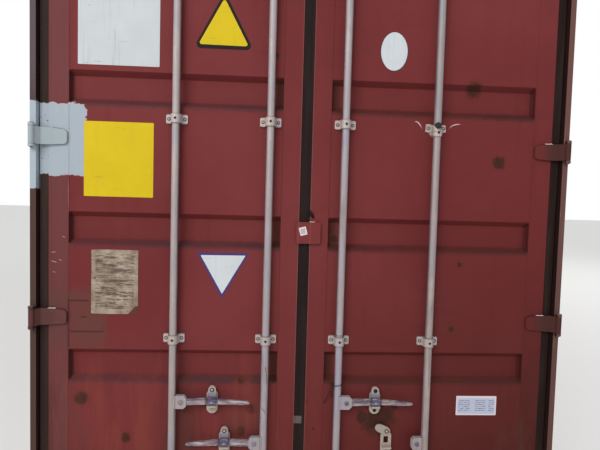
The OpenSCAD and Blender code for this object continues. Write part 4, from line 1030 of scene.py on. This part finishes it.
class DoorPlates(bpy.types.Operator):
    """Put the bare plates, stickers and the old placard on the doors"""

    bl_idname = "container.door_plates"
    bl_label = "Plates and stickers"

    def execute(self, context):
        rise = context.scene.container_fittings.plates
        white = plate_paint("white_plate", tone(210, 215, 218), tone(150, 128, 126), 0.45)
        bright = plate_paint("bright_plate", tone(220, 226, 230), tone(160, 140, 138), 0.3)
        yellow = plate_paint("yellow_plate", tone(226, 197, 28), tone(176, 140, 52), 0.25)
        black = plate_paint("black_border", tone(28, 20, 21), tone(54, 40, 38), 0.3)
        violet = plate_paint("violet_border", tone(74, 60, 126), tone(120, 100, 130), 0.3)

        def rectangle(name, x0, x1, z0, z1, corner, finish):
            outline = rounded_outline(x1 - x0, z1 - z0, corner)
            on_door(name, [plate(outline, ((x0 + x1) / 2, (z0 + z1) / 2), LEAF, rise)], finish)

        def triangle(name, corners, corner, finish, back):
            corners = np.array(corners)
            centre = corners.mean(axis=0)
            shell = plate(rounded_triangle(corners - centre, corner), centre, back, rise * 0.6)
            on_door(name, [shell], finish)

        front = LEAF - rise * 0.6
        rectangle("left_white_panel", -1.019, -0.664, 2.169, 2.57, 0.004, white)
        rectangle("left_yellow_panel", -0.991, -0.686, 1.589, 1.922, 0.004, yellow)
        triangle("left_yellow_triangle_border", [(-0.3825, 2.51), (-0.5165, 2.26), (-0.2485, 2.2595)],
                 0.02, black, LEAF)
        triangle("left_yellow_triangle", [(-0.3825, 2.483), (-0.495, 2.2775), (-0.2715, 2.2755)], 0.009,
                 yellow, front)
        triangle("left_white_triangle_border", [(-0.486, 1.3455), (-0.3705, 1.138), (-0.2505, 1.3468)],
                 0.004, violet, LEAF)
        triangle("left_white_triangle", [(-0.47, 1.3348), (-0.3699, 1.1575), (-0.2655, 1.3363)], 0.002,
                 bright, front)
        u = circle(40)
        oval = coords(0.061 * np.cos(u), 0.086 * np.sin(u))
        # Painted shade: a dark ring round the white oval.
        rim = plate_paint("oval_rim", tone(86, 60, 70), tone(110, 70, 76), 0.3)
        on_door("right_white_oval_rim", [plate(oval * 1.035, (0.387, 2.281), LEAF, rise * 0.5)], rim)
        on_door("right_white_oval", [plate(oval, (0.387, 2.282), LEAF, rise)], bright)
        sheet = rounded_outline(0.209, 0.292, 0.006)
        steps = np.linspace(0, 1, 9)[:-1, None]
        torn = np.concatenate([a + (b - a) * steps for a, b in zip(sheet, np.roll(sheet, -1, axis=0))])
        wobble = np.random.default_rng(7).normal(size=len(torn) // 3)
        wobble = np.interp(np.arange(len(torn)), np.arange(len(wobble)) * 3.0, wobble)
        torn *= (1.0 + wobble * 0.0011 / np.linalg.norm(torn, axis=1))[:, None]
        on_door("left_old_placard", [plate(torn, (-0.8525, 1.204), LEAF, rise)], old_placard("old_placard"))
        rectangle("right_small_label", 0.746, 0.941, 0.595, 0.688, 0.003, ruled_label("ruled_label"))
        return {"FINISHED"}


class MeetingEdges(bpy.types.Operator):
    """Make the gasket's lip, its torn end with a painted highlight, and the sheet that laps the lock plate's
    two halves
    """

    bl_idname = "container.meeting_edges"
    bl_label = "Meeting edges"

    def execute(self, context):
        looks = context.scene.container_looks
        rubber = door_rubber("lip_rubber", looks)
        low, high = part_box("right_door_seal")
        section = np.array([(-0.0045, 0.065), (-0.003, 0.0643), (0.006, 0.0643), (0.0135, 0.0655),
                            (0.0135, 0.0664), (0.0045, 0.0664), (-0.003, 0.0657)])
        z = np.linspace(low[2], high[2], 60)
        drift = 0.0006 * np.sin(z * 23.0) + 0.0004 * np.sin(z * 61.0)
        across = section[None, :, 0] + drift[:, None] * (section[None, :, 0] < 0.0)
        lip = coords(across, END + section[:, 1], z[:, None])
        t = np.linspace(0, 1, 12)
        curl = coords(0.02 + 0.02 * t, END + 0.061 - 0.006 * np.sin(t * np.pi), 1.55 - 0.034 * t)
        tear = tube(curl, 0.002 + 0.006 * np.sin(t * np.pi * 0.85 + 0.2), 10, upward=(0.0, 1.0, 0.0))
        on_door("right_seal_lip", [closed_stack(lip), tear], rubber, "door_rubber")
        # Painted highlight: a white glint on the seal's torn end.
        pale = plate_paint("seal_glint_paint", tone(236, 234, 230), tone(180, 160, 156), 0.2)
        glint = coords(0.021 + 0.027 * t, 1.5008 - 0.004 * np.sin(t * np.pi))
        on_door("right_seal_glint", [ribbon(glint, 0.005, END + 0.056, 0.002)], pale)
        cut, half = 0.006, 0.0495
        x0, x1 = -0.039, 0.074
        outline = np.array([(x0 + cut, -half), (x1 - cut, -half), (x1, cut - half), (x1, half - cut),
                            (x1 - cut, half), (x0 + cut, half), (x0, half - cut), (x0, cut - half)])
        lap = plate(outline - (np.array([x0 + x1, 0.0]) / 2), ((x0 + x1) / 2, DOOR_MIDDLE), LEAF - 0.0121,
                    0.0012)
        on_door("right_lock_plate_lap", [lap], weathered_paint("lock_plate_paint", looks))
        turn, middle = math.radians(15), (-0.006, 1.4555)
        square = rounded_outline(0.033, 0.038, 0.003) @ np.array([[math.cos(turn), math.sin(turn)],
                                                                  [-math.sin(turn), math.cos(turn)]])
        on_door("right_lock_plate_sticker", [plate(square, middle, LEAF - 0.0133, 0.0006)],
                square_sticker("pink_sticker", middle, turn))
        tape = rounded_outline(0.037, 0.036, 0.004)
        on_door("right_seal_tape", [plate(tape, (-0.0065, 0.569), LEAF + 0.0022, 0.0008)],
                plate_paint("grey_tape", tone(104, 94, 94), tone(52, 40, 38), 1.0), "door_rubber")
        return {"FINISHED"}


class DamageAndTraces(bpy.types.Operator):
    """Make the cap in the bent guide, the scratches, the painted highlights along the blades' top edges,
    partly worn chips, the painted highlight down the left stile's seam, and the wires left on the lock bars
    """

    bl_idname = "container.damage_and_traces"
    bl_label = "Damage and traces"

    def execute(self, context):
        cap = [(0.015, 0.01), (0.015, 0.001)] + [tuple(row) for row in dome(0.0146, 0.003)[1:]]
        place = [(BARS[4][0] - 0.001, END + 0.0126, GUIDE_HEIGHTS[2] + 0.008)]
        piece("bent_guide_cap", [turned(cap, place, sides=28)],
              dark_steel("black_cap", tone(38, 36, 38), 0.0), "right_door")

        pink = plate_paint("scratched_primer", tone(214, 184, 182), tone(150, 110, 108), 0.5)
        seam_highlight = plate_paint("seam_highlight_paint", tone(172, 116, 110), tone(140, 90, 86), 0.4)
        t = np.linspace(0, 1, 14)
        left = coords(0.4927 + 0.036 * t, 1.97 + 0.006 * np.sin(t * np.pi) - 0.03 * t ** 1.5)
        right = coords(0.655 + 0.054 * t, 1.943 + 0.022 * t ** 0.5 + 0.004 * np.sin(t * np.pi))
        on_door("right_scratches", [ribbon(path, 0.0055, LEAF, 0.0009) for path in (left, right)], pink)
        t = np.linspace(0, 1, 16)[:, None]
        # The first stroke is a painted highlight down the left stile's seam; the others are scratches.
        strokes = [((-1.0583, 1.68), (-1.0556, 1.512), 0.0026), ((-1.134, 1.332), (-1.111, 1.336), 0.0022),
                   ((-1.086, 1.408), (-1.07, 1.4), 0.002), ((-1.134, 1.295), (-1.104, 1.287), 0.0024),
                   ((-1.1, 1.302), (-1.084, 1.296), 0.002), ((-1.128, 1.246), (-1.112, 1.243), 0.0018)]
        shells = []
        for k, (start, end, width) in enumerate(strokes):
            path = np.array(start) + (np.array(end) - np.array(start)) * t
            path[:, 0] += 0.0007 * np.sin(t[:, 0] * 9.0 + k)
            shells.append(ribbon(path, width, LEAF - 0.0018 if k == 0 else LEAF, 0.0012))
        on_door("left_primer_line", shells[:1], seam_highlight)
        on_door("left_scratches", shells[1:], pink)

        # White lines on the blades' top edges: painted highlights, partly worn chips.
        glint_and_chip = plate_paint("glint_and_chip_paint", tone(238, 236, 232), tone(190, 170, 160), 0.1)
        for side, sign, level in (("left", -1, HINGE_HEIGHTS[1]), ("right", 1, HINGE_HEIGHTS[1]),
                                  ("right_upper", 1, HINGE_HEIGHTS[2])):
            x = np.array([1.106, 1.115, 1.124, 1.134, 1.142])
            path = coords(sign * x, END + 0.0498 - np.clip(x - 1.1166, 0.0, 1.0) * 0.128,
                          level + 0.0378 + 0.0012 * np.sin(x * 400.0))
            shell = tube(path, np.array([0.0006, 0.0017, 0.0012, 0.0018, 0.0006]), 8,
                         upward=(0.0, 1.0, 0.0))
            on_door(side + "_blade_chip", [shell], glint_and_chip)

        wire = dark_steel("old_wire", tone(44, 36, 38))
        black_shade = dark_steel("black_wire", tone(40, 34, 38), 0.0)
        u = circle(40)
        x = BARS[3][0]
        loop = coords(x - 0.0035 + 0.0235 * np.cos(u), END + 0.03 + 0.0195 * np.sin(u),
                      0.751 + 0.002 * np.cos(u))
        t = np.linspace(0, 1, 16)
        tail = coords(0.1455 - 0.032 * t, END + 0.03 + 0.0285 * t,
                      0.749 - 0.099 * t - 0.006 * np.sin(t * np.pi))
        strand = coords(0.15 - 0.004 * t, END + 0.013 + 0.037 * t, 0.75 - 0.062 * t)
        shells = [tube(loop, 0.0016, 8, wrap=True)]
        shells += [tube(path, 0.0017, 8, upward=(0.0, 1.0, 0.0)) for path in (tail, strand)]
        on_door("right_door_wire", shells, wire, "galvanised_steel")
        band = coords(x + 0.0176 * np.cos(u), END + 0.03 + 0.0176 * np.sin(u), 0.9828 + 0.0006 * np.cos(u))
        piece("lock_bar_3_band", [tube(band, 0.0011, 8, wrap=True)], black_shade, "lock_bar_3")

        x = BARS[2][0]
        shells = []
        for side, z0, z1 in (((0.002, 0.0115), 0.835, 0.752), ((-0.012, 0.0095), 0.644, 0.615),
                             ((-0.0135, -0.013), 0.6, 0.594)):
            across = side[0] + (side[1] - side[0]) * t ** 0.6
            deep = END + 0.03 - np.sqrt(0.0172 ** 2 - across ** 2)
            shells.append(tube(coords(x + across, deep, z0 + (z1 - z0) * t), 0.001, 6,
                               upward=(0.0, 1.0, 0.0)))
        piece("lock_bar_2_wires", shells, black_shade, "lock_bar_2")
        return {"FINISHED"}


class FloorScrews(bpy.types.Operator):
    """Drive the floor screws into every cross-member"""

    bl_idname = "container.floor_screws"
    bl_label = "Floor screws"

    def execute(self, context):
        radius = context.scene.container_fittings.screw
        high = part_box("floor_boards")[1]
        places = []
        for count, first, pitch, inner, screws in (BEAMS, OUTRIGGERS):
            across = np.linspace(inner, high[0] - 0.03, screws)
            for k in range(count):
                y = first + k * pitch + FLANGE_MIDDLE
                places += [(side * x, y, high[2]) for side in (-1, 1) for x in across]
        rows = [(radius * 0.9, -0.001), (radius, 0.0002), (radius * 0.9, 0.0009), (radius * 0.35, 0.0009),
                (radius * 0.3, 0.0002)]
        piece("floor_screws", [turned(rows, places, axis="z", sides=12)],
              dark_steel("screw_steel", tone(86, 74, 66)), "container_body")
        return {"FINISHED"}


class RoofWaveEnds(bpy.types.Operator):
    """Close the ends of the roof's waves with the pressed slopes that run down to the side rails"""

    bl_idname = "container.roof_wave_ends"
    bl_label = "Roof wave ends"

    def execute(self, context):
        looks = context.scene.container_looks
        low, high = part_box("roof_sheet")
        rail_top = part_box("top_side_rails")[1][2]
        pitch, flat, slope, run_out = 0.209, 0.091, 0.0135, 0.04
        count = int((high[1] - low[1] - 0.12) / pitch)
        first = low[1] + (high[1] - low[1] - count * pitch - flat) / 2 + flat
        starts = first + pitch * np.arange(count)
        crest = pitch - flat
        foot = np.array([0.0, slope, crest - slope, crest])
        tip = np.array([0.014, 0.022, crest - 0.022, crest - 0.014])
        shells = []
        for sign in (-1, 1):
            rows = []
            for across, up, edge in ((0.0, high[2], foot), (run_out, rail_top + 0.0004, tip)):
                heights = [rail_top - 0.001, up, up, rail_top - 0.001]
                rows.append(coords(sign * (high[0] + across), starts[:, None] + edge, heights))
            shells.append(closed_stack(np.stack(rows, axis=1)))
        piece("roof_wave_ends", shells, weathered_paint("weathered_roof_end_paint", looks, doors=False),
              "container_body", smooth=15.0)
        return {"FINISHED"}


class LashingRings(bpy.types.Operator):
    """Hang the lashing rings along the foot of the side walls inside"""

    bl_idname = "container.lashing_rings"
    bl_label = "Lashing rings"

    def execute(self, context):
        radius = context.scene.container_fittings.ring
        finish = dark_steel("ring_steel", tone(104, 92, 86))
        low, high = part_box("left_side_wall")
        shells = []
        for sign in (-1, 1):
            for y in np.arange(low[1] + 0.45, high[1] - 0.2, 1.112):
                x = sign * (abs(low[0]) - 0.06)
                z = low[2] + 0.004
                u = circle(28)
                ring = coords(x, y + radius * np.cos(u), z + 0.003 + radius * 0.9 * (1 + np.sin(u)))
                shells.append(tube(ring, 0.0045, 8, upward=(1.0, 0.0, 0.0), wrap=True))
                v = np.linspace(0, np.pi, 10)
                loop = coords(x + 0.015 * np.cos(v), y, z - 0.003 + 0.014 * np.sin(v))
                shells.append(tube(loop, 0.005, 8, upward=(0.0, 1.0, 0.0)))
        piece("lashing_rings", shells, finish, "container_body")
        return {"FINISHED"}


class StudioStage(bpy.types.Operator):
    """Lay the pale floor, set the soft light and place the camera"""

    bl_idname = "container.studio_stage"
    bl_label = "Stage"

    def execute(self, context):
        scene, stage = context.scene, context.scene.container_stage
        scene.view_settings.view_transform = "Standard"
        reach = 45.0
        mesh = bpy.data.meshes.new("stage_floor")
        corners = [(x * reach, y * reach, -0.001) for x, y in ((-1, -1), (1, -1), (1, 1), (-1, 1))]
        mesh.from_pydata(corners, [], [(0, 1, 2, 3)])
        sheet = Sheet("stage_floor_paint")
        paint = sheet.finish(tuple(stage.floor), 0.9, Specular_IOR_Level=0.1)
        seen = sheet.node("ShaderNodeLightPath", output="Is Camera Ray") * 0.4
        white = sheet.node("ShaderNodeEmission", {}, {"Color": (1.0, 1.0, 1.0), "Strength": 1.0})
        blend = sheet.tree.nodes.new("ShaderNodeMixShader")
        sheet.tree.links.new(seen.socket, blend.inputs[0])
        sheet.tree.links.new(sheet.shader.outputs["BSDF"], blend.inputs[1])
        sheet.tree.links.new(white.socket, blend.inputs[2])
        out = sheet.tree.nodes["Material Output"]
        sheet.tree.links.new(blend.outputs[0], out.inputs["Surface"])
        mesh.materials.append(paint)
        floor = bpy.data.objects.new("stage_floor", mesh)
        scene.collection.objects.link(floor)

        world = bpy.data.worlds.new("studio")
        world.use_nodes = True
        scene.world = world
        nodes, links = world.node_tree.nodes, world.node_tree.links
        nodes.clear()
        path = nodes.new("ShaderNodeLightPath")
        seen = path.outputs["Is Camera Ray"]
        for other in ("Is Glossy Ray", "Is Transmission Ray"):
            either = nodes.new("ShaderNodeMath")
            either.operation = "MAXIMUM"
            links.new(seen, either.inputs[0])
            links.new(path.outputs[other], either.inputs[1])
            seen = either.outputs[0]
        lit, shown, mixed = (nodes.new("ShaderNode" + k) for k in ("Background", "Background", "MixShader"))
        for sky, strength in ((lit, stage.sky), (shown, 1.0)):
            sky.inputs["Strength"].default_value = strength
            sky.inputs["Color"].default_value = (1.0, 1.0, 1.0, 1.0)
        links.new(seen, mixed.inputs[0])
        links.new(lit.outputs[0], mixed.inputs[1])
        links.new(shown.outputs[0], mixed.inputs[2])
        out = nodes.new("ShaderNodeOutputWorld")
        links.new(mixed.outputs[0], out.inputs["Surface"])

        def lamp(name, place, target, size, power):
            light = bpy.data.lights.new(name, "AREA")
            light.shape = "RECTANGLE"
            light.size, light.size_y, light.energy = size[0], size[1], power
            made = bpy.data.objects.new(name, light)
            made.location = place
            made.rotation_euler = (Vector(target) - Vector(place)).to_track_quat("-Z", "Y").to_euler()
            scene.collection.objects.link(made)

        lamp("front_lamp", (-3.2, END - 5.5, 5.2), (0.0, END, 1.4), (4.0, 3.0), stage.lamp)
        lamp("side_lamp", (8.5, 1.0, 7.5), (0.0, 0.0, 1.4), (6.0, 5.0), stage.lamp * 1.2)

        eye = bpy.data.cameras.new("photo_camera")
        eye.lens, eye.sensor_width = stage.lens, 36.0
        camera = bpy.data.objects.new("photo_camera", eye)
        right = (0.99821, -0.05305, 0.02766)
        up = (-0.02468, 0.05588, 0.99813)
        back = (-0.05449, -0.99703, 0.05447)
        place = Matrix((right, up, back)).transposed().to_4x4()
        place.translation = (-0.1463, END - 2.2409, 1.6085)
        camera.matrix_world = place
        scene.collection.objects.link(camera)
        scene.camera = camera
        return {"FINISHED"}


STEPS = (PaintBody, PaintDoors, ZincGear, FloorAndUnderframe, GearRivets, WeldBeads, DoorPlates,
         MeetingEdges, DamageAndTraces, FloorScrews, RoofWaveEnds, LashingRings, StudioStage)


class ContainerPanel(bpy.types.Panel):
    """The settings and the steps, in the sidebar."""

    bl_idname = "VIEW3D_PT_container"
    bl_label = "Freight container"
    bl_space_type = "VIEW_3D"
    bl_region_type = "UI"
    bl_category = "Container"

    def draw(self, context):
        for group in ("container_looks", "container_fittings", "container_stage"):
            box = self.layout.box()
            settings = getattr(context.scene, group)
            for key in type(settings).__annotations__:
                box.prop(settings, key)
        for step in STEPS:
            self.layout.operator(step.bl_idname)


GROUPS = {"container_looks": ContainerLooks, "container_fittings": ContainerFittings,
          "container_stage": ContainerStage}


def register():
    for group in GROUPS.values():
        bpy.utils.register_class(group)
    for key, group in GROUPS.items():
        setattr(bpy.types.Scene, key, bpy.props.PointerProperty(type=group))
    for made in STEPS + (ContainerPanel,):
        bpy.utils.register_class(made)


def unregister():
    for made in (ContainerPanel,) + STEPS:
        bpy.utils.unregister_class(made)
    for key in GROUPS:
        delattr(bpy.types.Scene, key)
    for group in GROUPS.values():
        bpy.utils.unregister_class(group)


def main():
    register()
    bpy.ops.container.paint_body()
    bpy.ops.container.paint_doors()
    bpy.ops.container.zinc_gear()
    bpy.ops.container.floor_and_underframe()
    bpy.ops.container.gear_rivets()
    bpy.ops.container.weld_beads()
    bpy.ops.container.door_plates()
    bpy.ops.container.meeting_edges()
    bpy.ops.container.damage_and_traces()
    bpy.ops.container.floor_screws()
    bpy.ops.container.roof_wave_ends()
    bpy.ops.container.lashing_rings()
    bpy.ops.container.studio_stage()


if __name__ == "__main__":
    main()
